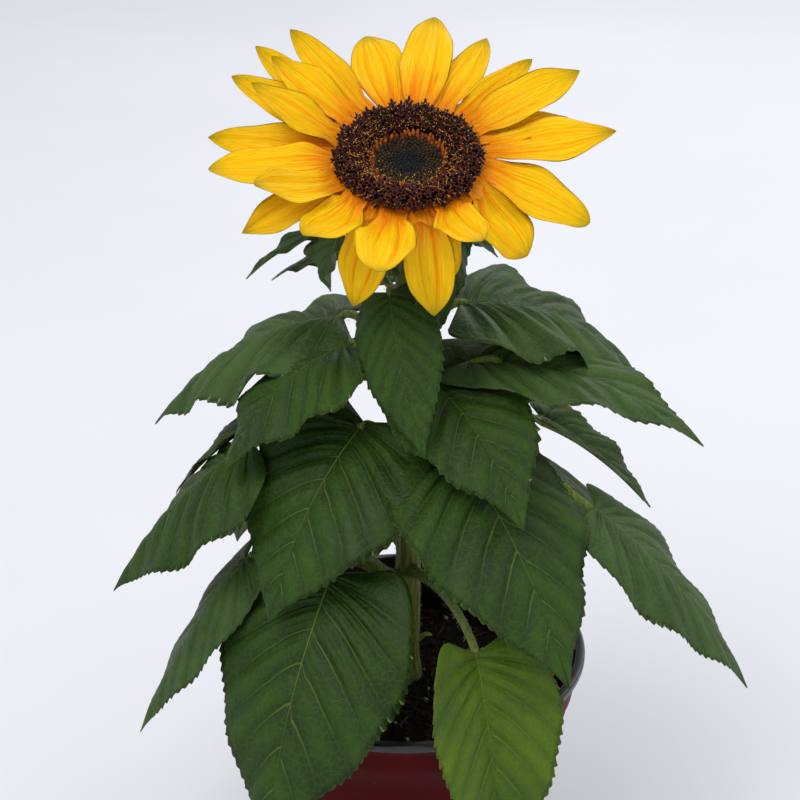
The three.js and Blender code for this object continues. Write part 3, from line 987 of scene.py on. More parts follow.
@dataclass(frozen=True)
class LeafHabit:
    """How one leaf differs from its neighbours."""

    age: Age = Age.GROWN  # Which colours it has
    wave: float = 0.07  # Height of the waves in its margin, as a share of its half width
    droop: float = 0.10  # How far the margin hangs, as a share of its half width
    hook: float = 0.03  # How far the tip curls under, as a share of its length
    swing: float = 0.0  # How far the tip swings sideways, as a share of its length
    near: float = 0.0  # Extra rise of the half on the anticlockwise side, in degrees
    far: float = 0.0  # Extra rise of the other half
    lobe: float = 0.13  # How far the base lobes reach behind the stalk, as a share of the length
    near_lobe: float = 0.0  # How much farther the anticlockwise lobe reaches
    start: float = 0.0  # Share of the solid's midline where the blade begins
    end: float = 1.0  # Share of the solid's midline where the blade ends
    wide: float = 1.0  # Factor on the solid's width
    drop: float = 0.0  # How far the tip hangs under the solid's
    quilt: float = 1.0  # Factor on the quilting


LEAF_HABITS = {
    "leaf_front_low_left": LeafHabit(wave=0.05, droop=0.07, hook=0.02, lobe=0.12),
    "leaf_front_low_right": LeafHabit(Age.OLD, wave=0.06, droop=0, near=-6, far=18, lobe=0.12),
    "leaf_front_right": LeafHabit(wave=0.08, hook=0.02, lobe=0.10, quilt=1.3),
    "leaf_front_left": LeafHabit(wave=0.07, droop=0.06, hook=0.02, far=8, lobe=0.17, start=-0.05,
                                 wide=1.08),
    "leaf_right_low": LeafHabit(Age.YOUNG, wave=0.06, droop=0.06, hook=0.02, lobe=0.10, start=0.12),
    "leaf_left": LeafHabit(wave=0.06, hook=0, lobe=0.06, start=0.14, wide=1.02),
    "leaf_left_low": LeafHabit(Age.YOUNG, wave=0.05, droop=0.06, hook=0.01),
    "leaf_left_back": LeafHabit(wave=0.06, hook=0, start=0.1, end=0.84, wide=0.66, drop=17 * MM),
    "leaf_upper_left": LeafHabit(Age.YOUNG, wave=0.14, hook=0, near=-12, swing=0.02, end=0.98,
                                 wide=1.25, quilt=1.5),
    "leaf_upper_left_front": LeafHabit(wave=0.12, hook=0.02, end=1.05, wide=1.08, quilt=1.5),
    "leaf_upper_right": LeafHabit(Age.YOUNG, wave=0.12, hook=0.01, near=12, start=-0.04, wide=1.1,
                                  quilt=1.5),
    "leaf_right": LeafHabit(Age.YOUNG, wave=0.10, droop=0.02, hook=0.02, near=38, far=18,
                            lobe=0.14, near_lobe=0.08, start=-0.20, wide=0.92, quilt=1.6),
    "leaf_right_small": LeafHabit(Age.YOUNG, wave=0.10, droop=0, hook=0, near=-12, start=0.06,
                                  wide=0.92, quilt=2.2),
    "leaf_front_upper_right": LeafHabit(wave=0.08, near=30, lobe=0.14, near_lobe=0.18, start=-0.03,
                                        wide=1.1, quilt=1.2),
    "leaf_front_top": LeafHabit(wave=0.06, lobe=0.10, wide=1.08),
    "leaf_top_left": LeafHabit(Age.YOUNG, wave=0.16, droop=0, lobe=0, end=0.9, wide=1.5),
    "leaf_top_left_narrow": LeafHabit(wave=0.16, lobe=0, wide=1.25),
    "leaf_top_left_small": LeafHabit(wave=0.10, lobe=0, wide=1.3),
    "leaf_top_right": LeafHabit(wave=0.10, lobe=0.06),
}
TOOTH = (0.0, 0.35, 0.72, 1.0)  # a tooth's height over its four rows, steep on the tip's side
STALK_RINGS = 3  # rings of a leaf's solid that belong to its stalk
STALK_SIDES = 12
LOBE_AT = 0.05  # row where the base lobes reach farthest back
TEETH = (9, 32)  # fewest and most teeth on a side
FIRST_TOOTH = 0.10  # row where the teeth begin
VEIN_STANDS = (0.0, 0.13, 0.25, 0.365, 0.48, 0.59, 0.695, 0.79, 0.875, 1.0)
VEIN_STAGGER = 0.022  # how much later the veins stand on the near side
RIB_CLIMB = 0.28  # how far forward the rows climb at the blade's middle
SAG_FROM = 0.55  # row where the tip begins to curl under
FULL_TOOTH_HALF = 18 * MM  # narrower blades have smaller teeth
STALK_ROWS = 18
MIDRIB_ROWS = 26


@dataclass
class Leaf:
    """One leaf: a toothed, veined blade of two skins with its stalk and midrib."""

    node: str  # The solid it replaces
    habit: LeafHabit  # How it differs from its neighbours
    seed: int  # Source of its unevenness
    thickness: float = 0.45 * MM  # Of the blade
    tooth_pitch: float = 4.3 * MM  # Distance between teeth
    tooth_height: float = 1.05 * MM  # How far a tooth stands out
    columns: int = 15  # Points across each half
    sunk: float = 3.2 * MM  # How far its stalk reaches into the stem
    midline: Midline = field(init=False)
    stalk_path: Array = field(init=False)

    def __post_init__(self) -> None:
        """Reads the blade's midline and the stalk's path out of the solid."""
        rings, tip = rings_of(self.node, LEAF_STEPS)
        outward = unit((tip - rings[0].mean(0)) * np.array([1.0, 1.0, 0.0]))
        self.midline = Midline.of(rings[STALK_RINGS:], tip, UP + outward)
        root = rings[0].mean(0)
        joint = self.midline.at(np.array(0.0))[0]
        inside = root - outward * self.sunk
        self.stalk_path = np.vstack([inside, root, rings[1].mean(0), rings[2].mean(0), joint])

    def _rows(self) -> tuple[Array, Array]:
        """The rows from base to tip: four to a tooth, and a few smooth ones at both ends.

        Returns:
            Row parameters, and each row's tooth height from 0 to 1.
        """
        count = int(np.clip(round(self.midline.length / self.tooth_pitch), *TEETH))
        steps = np.arange(4 * count + 1)
        rows = FIRST_TOOTH + 0.87 * steps / (4 * count)
        teeth = np.array(TOOTH)[steps % 4]
        before = np.linspace(0.012, FIRST_TOOTH, 7)[:-1]
        after = np.array([0.982, 0.993])
        heights = np.concatenate([np.zeros(len(before)), teeth, np.zeros(len(after))])
        return np.concatenate([before, rows, after]), heights

    @staticmethod
    def _rib_share(rows: Array) -> Array:
        """Where on the midline a row starts: t less a sine of t, so rows climb forward."""
        return rows - RIB_CLIMB * np.sin(math.pi * rows)

    def _sag(self, rows: Array) -> Array:
        """How far a row hangs under the solid's midline: a square beyond the blade's middle."""
        beyond = np.clip(rows - SAG_FROM, 0.0, 1.0)
        return self.habit.hook * self.midline.length * 5.0 * beyond ** 2

    def _on_solid(self, share: Array) -> Array:
        """The share of the solid's midline for a share of the blade's own."""
        return self.habit.start + (self.habit.end - self.habit.start) * share

    @staticmethod
    def _veins(rows: Array, side: Array) -> Array:
        """The vein number at a row: whole on the side veins, and straight between them."""
        return np.interp(rows - VEIN_STAGGER * (side > 0), VEIN_STANDS, np.arange(10.0))

    def _blade(self) -> Surface:
        """The blade as two skins on one grid.

        A row leaves the midrib at t less a sine of t and reaches the margin at t less the base
        lobe's bump, so rows follow the side veins forward. The half width is the sine of pi times
        a power of t, slimmer near the tip. The relief adds the quilt between veins, the margin's
        waves and droop, the midrib's channel and the tip's hook.

        Returns:
            The blade, upper side 0 and under side 1.
        """
        rng = np.random.default_rng(self.seed)
        line, habit = self.midline, self.habit
        rows, teeth = self._rows()
        near_half = np.linspace(0.0, 1.0, self.columns) ** 0.9
        across = np.concatenate([-near_half[:0:-1], near_half])
        t, v = np.meshgrid(rows, across, indexing="ij")
        side = np.abs(v)
        root = self._rib_share(t)
        behind = np.where(v > 0, habit.lobe + habit.near_lobe, habit.lobe)
        lobe = behind * (t / LOBE_AT) * np.exp(1.0 - t / LOBE_AT)
        margin = t + 0.03 * np.sin(math.pi * t) - lobe
        along = self._on_solid(root + (margin - root) * side ** 1.3)
        half = (line.half * habit.wide * np.sin(math.pi * t ** 0.52) ** 0.92
                * (1.0 - 0.34 * smooth(0.60, 1.0, t)))
        uneven = 1.0 + 0.035 * ripple(rng, t, np.sign(v) * 0.4, 2.0)
        wide = half * v * uneven
        heights = teeth[:, None] * rng.uniform(0.55, 1.25, t.shape[0])[:, None]
        heights = heights * (1.0 - smooth(0.78, 0.93, rows))[:, None]
        reach = self.tooth_height * min(1.0, line.half / FULL_TOOTH_HALF)
        tooth = np.where(side > 0.999, heights * reach, 0.0)
        wide = wide + np.sign(v) * tooth
        along = along + 0.5 * tooth / line.length
        number = self._veins(t, v)
        share = number - np.floor(number)
        quilt = np.sin(math.pi * share) * np.sin(math.pi * np.clip(side, 0.0, 1.0) ** 0.8)
        wrinkle = np.sin(6 * math.pi * share + 2.0 * ripple(rng, t * 3, v * 2, 1.5)) * (
            np.sin(math.pi * np.clip(side, 0, 1) ** 0.6) * (1.0 - 0.7 * side))
        waves = habit.wave * side ** 2.2 * (
            np.sin(2 * math.pi * (3.1 * t + rng.uniform() + 0.31 * np.sign(v)))
            + 0.6 * ripple(rng, t, v * 0.5, 3.0))
        channel = -0.55 * MM * np.exp(-((side / 0.07) ** 2)) * (1.0 - t)
        lift = (habit.quilt * quilt * (0.012 * line.half + 0.040 * half)
                + waves * half * (0.5 + 1.1 * t) + habit.quilt * wrinkle * 0.013 * half
                - habit.droop * half * side ** 2.5
                + 0.07 * half * ripple(rng, t, v * 0.6, 1.3) * smooth(0.0, 0.35, side)
                - self._sag(t) + channel)
        rise = line.rise + np.radians(np.where(v > 0, habit.near, habit.far))
        middle, _, sideways, normal = line.at(along)
        swing = habit.swing * line.length * np.clip(t - 0.3, 0, 1) ** 2 * 2.0
        flat = wide * np.cos(rise) + swing
        upper = (middle + sideways * flat[..., None]
                 + normal * (np.abs(wide) * np.sin(rise) + lift)[..., None]
                 - UP * (habit.drop * along)[..., None])
        thick = self.thickness * (1.0 - side ** 10)
        under = upper - normal * thick[..., None]
        ends = line.at(np.array([habit.start, habit.end]))
        tip = (ends[0][1] - ends[3][1] * self._sag(np.array(1.0)) - UP * habit.drop
               + ends[2][1] * habit.swing * line.length * 0.98)
        pattern = np.stack([number / VEIN_ROWS, (v + 1.0) / 2.0], -1)
        return blade_shell(upper, under, pattern, ends[0][0], tip)

    def _stalk(self) -> Surface:
        """The stalk and, on from it under the blade, the thinning midrib: one tapered tube.

        The stalk is a cubic through the solid's ring centres.

        Returns:
            The tube.
        """
        line = self.midline
        gone = gone_along(self.stalk_path)
        fit = np.polyfit(gone / gone[-1], self.stalk_path, 3)
        share = np.linspace(0.0, 0.97, STALK_ROWS)
        stalk = np.stack([np.polyval(fit[:, k], share) for k in range(3)], -1)
        blade_share = np.linspace(0.03, 0.93, MIDRIB_ROWS)
        under = self._on_solid(blade_share)
        fine = np.linspace(0.0, 1.0, 200)
        rows = np.interp(blade_share, self._rib_share(fine), fine)
        scale = min(1.0, 0.55 + line.half / (60 * MM))
        radii = scale * MM * np.concatenate([
            np.interp(share, [0.0, 0.10, 0.3, 1.0], [3.1, 2.3, 1.85, 1.6]),
            np.interp(blade_share, [0.0, 0.3, 1.0], [1.45, 0.95, 0.3])])
        middle, _, _, normal = line.at(under)
        below = (middle - normal * (radii[STALK_ROWS:] * 1.05 + self._sag(rows)
                                    + 0.75 * MM * (1.1 - rows))[:, None]
                 - UP * (self.habit.drop * under)[:, None])
        hint = line.at(np.array(0.3))[2]
        relief = 1.0 + 0.05 * np.cos(3 * steps_round(STALK_SIDES))[None, :]
        return tube(np.vstack([stalk, below]), radii, STALK_SIDES, hint, relief)

    def build(self, materials: dict[Age, list[Material]]) -> None:
        """Makes the leaf's piece.

        Args:
            materials: Upper, under and stalk materials for each age.
        """
        whole = Surface.joined([self._blade(), self._stalk().with_finish(2)])
        whole.piece(self.node + "_blade", materials[self.habit.age], "leaf", (self.node,))

    def stalk_line(self) -> tuple[Array, float]:
        """Points along the stalk and its radius, for the hairs."""
        return self.stalk_path[1:], 1.75 * MM


LEAF_COLOURS = (  # for each age: deep, light and vein of the upper side, and of the under side
    (Age.GROWN, "", ((24, 47, 6), (45, 74, 14), (112, 136, 56)),
     ((84, 108, 56), (104, 126, 74), (140, 156, 96))),
    (Age.OLD, "_old", ((52, 80, 8), (80, 106, 16), (138, 150, 58)),
     ((112, 130, 62), (132, 148, 76), (168, 176, 104))),
    (Age.YOUNG, "_young", ((38, 63, 20), (64, 90, 40), (122, 140, 80)),
     ((110, 132, 92), (130, 150, 108), (164, 180, 128))))


class Foliage:
    """All the leaves."""

    def __init__(self) -> None:
        """Finds every leaf solid in the frame."""
        nodes = sorted(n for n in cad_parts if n.startswith("leaf_"))
        self.leaves = [Leaf(n, LEAF_HABITS.get(n, LeafHabit()), 40 + k)
                       for k, n in enumerate(nodes)]

    def build(self) -> None:
        """Makes the leaf materials and every leaf."""
        stalk = StalkFinish("leaf_stalk", (84, 112, 34), (130, 150, 64), (112, 110, 46)).make()
        pale = Gloss(0.66, 0.2, bump=0.0007)
        dress = {age: [LeafFinish("leaf_upper" + suffix, *upper).make(),
                       LeafFinish("leaf_under" + suffix, *under, 1.0, pale).make(), stalk]
                 for age, suffix, upper, under in LEAF_COLOURS}
        for leaf in self.leaves:
            leaf.build(dress)


# ---------------------------------------------------------------- petals
class TipShape(Enum):
    """How a petal's outline ends: the row power and the width power of its sine."""

    POINTED = (1.12, 0.80)
    BLUNT = (1.30, 0.62)
    BROAD = (1.02, 0.56)


PETAL_SHAPES = {f"petal_{number:02d}": shape for shape, numbers in (
    (TipShape.BLUNT, (7, 15, 17, 19, 21, 23)), (TipShape.BROAD, (6, 14, 24))
) for number in numbers}  # the others are pointed
PATTERN_PLACES = 50  # petals' patterns stand side by side, one to a whole number
FLORET_RIM = 0.885  # share of the disc's radius where the outermost florets stand


@dataclass
class Petal:
    """One ray petal: a thin cupped blade with folds that run from root to tip."""

    node: str  # The solid it replaces
    head: HeadFrame  # The flower head's frame
    face: HeadFrame  # The frame of the florets, whose rim the petal leaves
    seed: int  # Source of its unevenness
    thickness: float = 0.32 * MM  # Of the blade
    rows: int = 54  # Points along
    columns: int = 27  # Points across

    def _root(self, solid_root: Array, rng: np.random.Generator) -> Array:
        """Where the petal leaves the disc: on its rim, at the turn of the solid's root.

        Args:
            solid_root: Where the solid's midline begins.
            rng: Source of the unevenness.

        Returns:
            The place.
        """
        face = self.face
        reach = solid_root - face.centre
        turn = np.arctan2(reach @ face.back, reach @ face.right)
        return face.place(np.array(FLORET_RIM * face.radius), turn,
                          np.array(rng.uniform(-2.6, -0.8) * MM))

    def build(self, materials: list[Material]) -> None:
        """Makes the petal's piece.

        The half width is a sine of the share along, to a power that sets how blunt the tip is.
        The relief is the cup's square of the share across, sine folds and two furrows that fade
        at both ends, a slow twist and a wave in the margin.

        Args:
            materials: Upper and under materials.
        """
        rng = np.random.default_rng(self.seed)
        rings, tip = rings_of(self.node, PETAL_STEPS)
        outward = unit(tip - self.head.centre)
        line = Midline.of(rings, tip, self.head.out + outward)
        share = np.linspace(0.0, 1.0, self.rows + 1)[1:]
        share = np.clip(0.005 + 0.99 * share * (1.0 + 0.12 * (1.0 - share)), 0.0, 0.995)
        t, v = np.meshgrid(share, np.linspace(-1.0, 1.0, self.columns), indexing="ij")
        side = np.abs(v)
        power, fullness = PETAL_SHAPES.get(self.node, TipShape.POINTED).value
        half = line.half * np.sin(math.pi * t ** power) ** fullness
        root_half = 5.3 * MM * (1.0 - smooth(0.12, 0.7, t))
        half = np.maximum(1.06 * half, root_half)
        half = half * (1.0 + 0.05 * ripple(rng, t, np.sign(v) * 0.3, 1.6))
        wide = half * v
        lean = rng.uniform(-0.35, 0.35)
        folds = rng.uniform(2.2, 3.4)
        fade = smooth(0.02, 0.22, t) * (1.0 - 0.65 * smooth(0.75, 1.0, t))
        crease = np.abs(np.sin(math.pi * (folds * (v + lean * (1 - side)) + rng.uniform()))) ** 0.7
        cup = rng.uniform(0.05, 0.26) * side ** 2
        groove = rng.uniform(0.30, 0.42)
        furrows = sum(np.exp(-(((v + way * groove + 0.1 * lean) / 0.11) ** 2))
                      for way in (-1.0, 1.0))
        lift = half * (cup * (1.0 - 0.5 * t) + fade * (0.12 * crease - 0.20 * furrows))
        lift = lift + half * 0.16 * side ** 2 * np.sin(
            2 * math.pi * (1.9 * t + rng.uniform() + 0.3 * np.sign(v)))
        lift = lift + half * rng.uniform(-0.28, 0.28) * v * smooth(0.2, 1.0, t)
        lift = lift + line.length * rng.uniform(-0.02, 0.035) * smooth(0.55, 1.0, t)
        middle, _, sideways, normal = line.at(t)
        solid_root = line.at(np.array(0.0))[0]
        root = self._root(solid_root, rng)
        middle = middle + (root - solid_root) * (1.0 - smooth(0.0, 0.5, t))[..., None]
        sway = line.length * rng.uniform(-0.012, 0.012) * np.sin(math.pi * t) * (0.4 + t)
        upper = (middle + sideways * (wide + sway)[..., None] + normal * lift[..., None])
        thick = self.thickness * (1.0 - side ** 8) * (1.0 - 0.3 * t)
        under = upper - normal * thick[..., None]
        pattern = np.stack([t, 0.002 + 0.996 * (v + 1.0) / 2.0 + self.seed % PATTERN_PLACES], -1)
        last = upper[-1].mean(0) + line.at(np.array(1.0))[1] * 0.3 * MM
        shell = blade_shell(upper, under, pattern, root, last)
        shell.piece(self.node + "_blade", materials, "petal", (self.node,))


class Corolla:
    """The whorls of ray petals."""

    def __init__(self, head: HeadFrame, face: HeadFrame) -> None:
        """Finds every petal solid in the frame."""
        nodes = sorted(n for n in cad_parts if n.startswith("petal_"))
        self.face = face
        self.petals = [Petal(n, head, face, 300 + k) for k, n in enumerate(nodes)]

    def build(self) -> None:
        """Makes the petal materials and every petal."""
        # the third colour of each side is the painted olive shade at its tip
        upper = PetalFinish("petal_upper", (248, 122, 0), (255, 206, 0), (206, 186, 20),
                            (240, 158, 0)).make()
        under = PetalFinish("petal_under", (206, 116, 0), (236, 176, 4), (176, 160, 30),
                            (196, 132, 4)).make()
        for petal in self.petals:
            petal.build([upper, under])
        self._feet().piece("petal_feet", [upper, under], "petal")

    def _feet(self) -> Surface:
        """The closed ring of petal feet: a shallow cone whose rim is a cosine of the turn.

        Returns:
            The cone, drawn to a point under the florets.
        """
        turn = steps_round(192)
        lobes = np.cos(len(self.petals) * turn)
        out = np.linspace(0.0, 1.0, 6)[:, None]
        radius = 0.84 * self.face.radius + out * (7.6 + 1.0 * lobes) * MM
        height = (-1.3 - 2.4 * out - 0.5 * out * lobes) * MM
        upper = self.face.place(radius, turn, height)
        under = self.face.place(radius, turn, height - 0.35 * MM)[::-1]
        share = np.concatenate([out, out[::-1]]) * 0.2
        pattern = np.stack(np.broadcast_arrays(share, turn * 4), -1)
        core = self.face.place(np.zeros(2), np.zeros(2), np.array([-4.4, -4.8]) * MM)
        return Surface.loft(np.vstack([upper, under]), core[0], core[1], pattern)


# ---------------------------------------------------------------- disc
def spun(outline: Array, sides: int) -> Surface:
    """A small turned template about Z with pattern coordinates of height share and turn."""
    return lathe(np.vstack([[0.0, outline[0, 1]], outline, [0.0, outline[-1, 1]]]), sides)


@dataclass
class Disc:
    """The flower's middle: a dark bed, open florets outside, closed buds within."""

    head: HeadFrame  # The flower head's frame
    count: int = 720  # Florets and buds in all
    rim_count: int = 96  # Florets in the row that leans out round the rim
    grains: int = 900  # Grains of pollen
    open_from: float = 0.64  # Share of the radius where open florets begin
    ring_from: float = 0.54  # Share of the radius where the orange ring begins
    heart: float = 0.27  # Share of the radius of the dark heart
    crowding: float = 0.62  # Power that packs the florets towards the rim
    seed: int = 11  # Source of its unevenness

    def _spiral(self) -> tuple[Array, Array, Array]:
        """Places on the disc: a power of a place's number sets its radius share, and it is the
        golden angle on from the last. A last row leans out round the rim.

        Returns:
            Radius shares, turns and places.
        """
        number = np.arange(self.count)
        rim = np.arange(self.rim_count)
        share = np.concatenate([((number + 0.5) / self.count) ** self.crowding,
                                1.0 + 0.03 * (rim % 2)])
        turn = np.concatenate([number * GOLDEN_ANGLE, steps_round(self.rim_count)])
        reach = np.minimum(share, 1.0) * self.head.radius * FLORET_RIM
        sunk = np.where(share >= 1.0, 1.2 + 40.0 * (share - 1.0), 0.0) * MM
        return share, turn, self.head.place(reach, turn, self.head.height(reach) - sunk)

    def _axes(self, share: Array, turn: Array, rng: np.random.Generator, spread: float,
              lean: float) -> Array:
        """Three axes for each place: the third stands off the disc and leans outwards.

        Args:
            share: Radius share of each place.
            turn: Turn of each place.
            rng: Source of the unevenness.
            spread: How uneven the stand is.
            lean: How far the outermost lean out.

        Returns:
            Shape (places, 3, 3).
        """
        outward = self.head.outward(turn)
        tip_out = lean * (share - 0.55) + 1.1 * smooth(0.93, 1.03, share)
        stand = (self.head.out + outward * tip_out[:, None]
                 + rng.normal(0.0, spread, (len(share), 3)))
        third = unit(stand)
        first = unit(outward - (outward * third).sum(-1, keepdims=True) * third)
        roll = rng.uniform(0, 2 * math.pi, len(share))[:, None]
        second = np.cross(third, first)
        turned = first * np.cos(roll) + second * np.sin(roll)
        return np.stack([turned, np.cross(third, turned), third], 1)

    @staticmethod
    def _tube_floret() -> Surface:
        """An open floret: a slim tube that widens to a five-lobed mouth, a metre-scaled template.

        The radius follows the outline, and near the mouth it gains a fifth-order cosine.

        Returns:
            The template.
        """
        height = np.array([0.0, 2.4, 4.5, 4.2]) * MM
        radius = np.array([0.42, 0.48, 1.02, 0.55]) * MM
        turn = steps_round(10)
        lobes = 1.0 + 0.26 * smooth(3.0 * MM, 4.5 * MM, height)[:, None] * np.cos(5 * turn)
        rings = round_rings(radius[:, None] * lobes, turn, height[:, None])
        pattern = np.stack(np.broadcast_arrays((height / height.max())[:, None],
                                               turn / (2 * math.pi)), -1)
        return Surface.loft(rings, -0.2 * MM * UP, 3.6 * MM * UP, pattern)

    @staticmethod
    def _anther() -> Surface:
        """The dark tube of anthers that stands out of an open floret."""
        outline = np.array([[0.34, 3.2], [0.40, 4.4], [0.38, 5.4], [0.20, 5.9]]) * MM
        return spun(outline, 6)

    @staticmethod
    def _stigma() -> Surface:
        """Two arms that part and curl back: each is a thin tube along half a circle.

        Returns:
            The template.
        """
        bend = np.linspace(0.0, 1.0, 5)
        arms = []
        for way in (-1.0, 1.0):
            sweep = bend * 3.2
            path = np.stack([way * 0.5 * (1 - np.cos(sweep)), 0.12 * way * bend,
                             5.3 + 0.75 * np.sin(sweep) + 0.55 * bend], -1) * MM
            arms.append(tube(path, np.interp(bend, [0, 1], [0.15, 0.08]) * MM, 3))
        return Surface.joined(arms)

    @staticmethod
    def _bud() -> Surface:
        """A closed floret: a pointed dome a little over a millimetre wide."""
        outline = np.array([[0.50, -0.6], [0.66, 0.3], [0.60, 1.0], [0.34, 1.55], [0.10, 1.8]])
        return spun(outline * MM, 6)

    @staticmethod
    def _speck() -> Surface:
        """A grain of pollen: two four-sided pyramids foot to foot."""
        return lathe(np.array([[0.0, -0.14], [0.16, 0.0], [0.15, 0.05], [0.0, 0.2]]) * MM, 4)

    def build(self) -> None:
        """Makes the bed and every kind of floret."""
        rng = np.random.default_rng(self.seed)
        head = self.head
        share, turn, place = self._spiral()
        outline = np.array([[s, head.height(np.array(s))] for s in
                            np.linspace(0.02, 1.0, 40) * head.radius * 0.91])
        turns = steps_round(120)
        rings = head.place(outline[:, :1], turns, outline[:, 1:] - 0.6 * MM)
        low = np.array([[0.80 * head.radius, -1.6 * MM], [0.50 * head.radius, -2.4 * MM]])
        sunk = head.place(low[:, :1], turns, low[:, 1:])
        ends = head.place(np.zeros(2), np.zeros(2), np.array([head.outline[0, 1] - 0.6 * MM,
                                                                 -3.8 * MM]))
        dark = GrainFinish("disc_bed", (20, 10, 10), (44, 22, 14), 500.0).make()
        Surface.loft(np.vstack([rings, sunk]), ends[0], ends[1]).piece(
            "disc_bed", [dark], "disc", ("disc",))

        axes = self._axes(share, turn, rng, 0.10, 0.75)
        total = len(share)
        size = rng.uniform(0.86, 1.16, total) * (0.92 + 0.34 * share)
        is_open = share > self.open_from + rng.normal(0, 0.02, total)
        in_ring = ~is_open & (share > self.ring_from)
        in_heart = share < self.heart
        within = ~is_open & ~in_ring & ~in_heart
        tall = size[:, None] * np.stack([np.ones(total)] * 2
                                        + [rng.uniform(0.52, 0.80, total)], -1)
        sunk_place = place - head.out * 0.7 * MM

        def deal(name: str, template: Surface, pick: Array, sizes: Array,
                 finish: GrainFinish) -> None:
            """Deals one kind of floret out to the picked places."""
            template.dealt(sunk_place[pick], axes[pick], sizes[pick]).piece(
                name, [finish.make()], "disc")

        glossy = Gloss(0.5, 0.25, bump=0.0002)
        deal("florets_open", self._tube_floret(), is_open, tall,
             GrainFinish("floret_tube", (17, 3, 4), (40, 10, 8), 420.0, 2500.0, glossy,
                         (82, 28, 14), 0.86))
        deal("floret_anthers", self._anther(), is_open, tall,
             GrainFinish("floret_anther", (10, 3, 6), (30, 10, 12), 500.0, 2500.0, glossy))
        curled = is_open & (rng.uniform(size=total) < 0.34)
        gilded = curled & (rng.uniform(size=total) < 0.5)
        deal("floret_stigmas", self._stigma(), curled & ~gilded, tall,
             GrainFinish("floret_stigma", (70, 26, 12), (132, 62, 22), 500.0))
        deal("floret_stigmas_gold", self._stigma(), gilded, tall,
             GrainFinish("floret_stigma_gold", (168, 98, 12), (222, 150, 34), 500.0))
        deal("florets_ring", self._bud(), in_ring, tall * np.array([1.1, 1.1, 1.7]),
             GrainFinish("floret_ring", (104, 44, 6), (190, 98, 14), 380.0))
        deal("buds_inner", self._bud(), within, tall * np.array([0.92, 0.92, 1.1]),
             GrainFinish("floret_bud", (34, 25, 11), (76, 55, 20), 380.0, 2500.0,
                         Gloss(0.5, 0.4), (40, 26, 20), 0.72))
        deal("buds_heart", self._bud(), in_heart, tall * np.array([0.86, 0.86, 0.9]),
             GrainFinish("floret_heart", (8, 9, 16), (28, 29, 34), 380.0))

        grains = self.grains
        chosen = rng.choice(np.flatnonzero(is_open | in_ring), grains)
        spots = (place[chosen] + axes[chosen, 2] * (rng.uniform(3.4, 5.9, grains) * MM)[:, None]
                 + rng.normal(0.0, 0.45 * MM, (grains, 3)))
        specks = self._speck().dealt(spots, axes[chosen], rng.uniform(0.7, 1.5, grains))
        specks.piece("pollen", [GrainFinish("pollen_grain", (206, 132, 16), (244, 190, 60),
                                            700.0).make()], "disc")


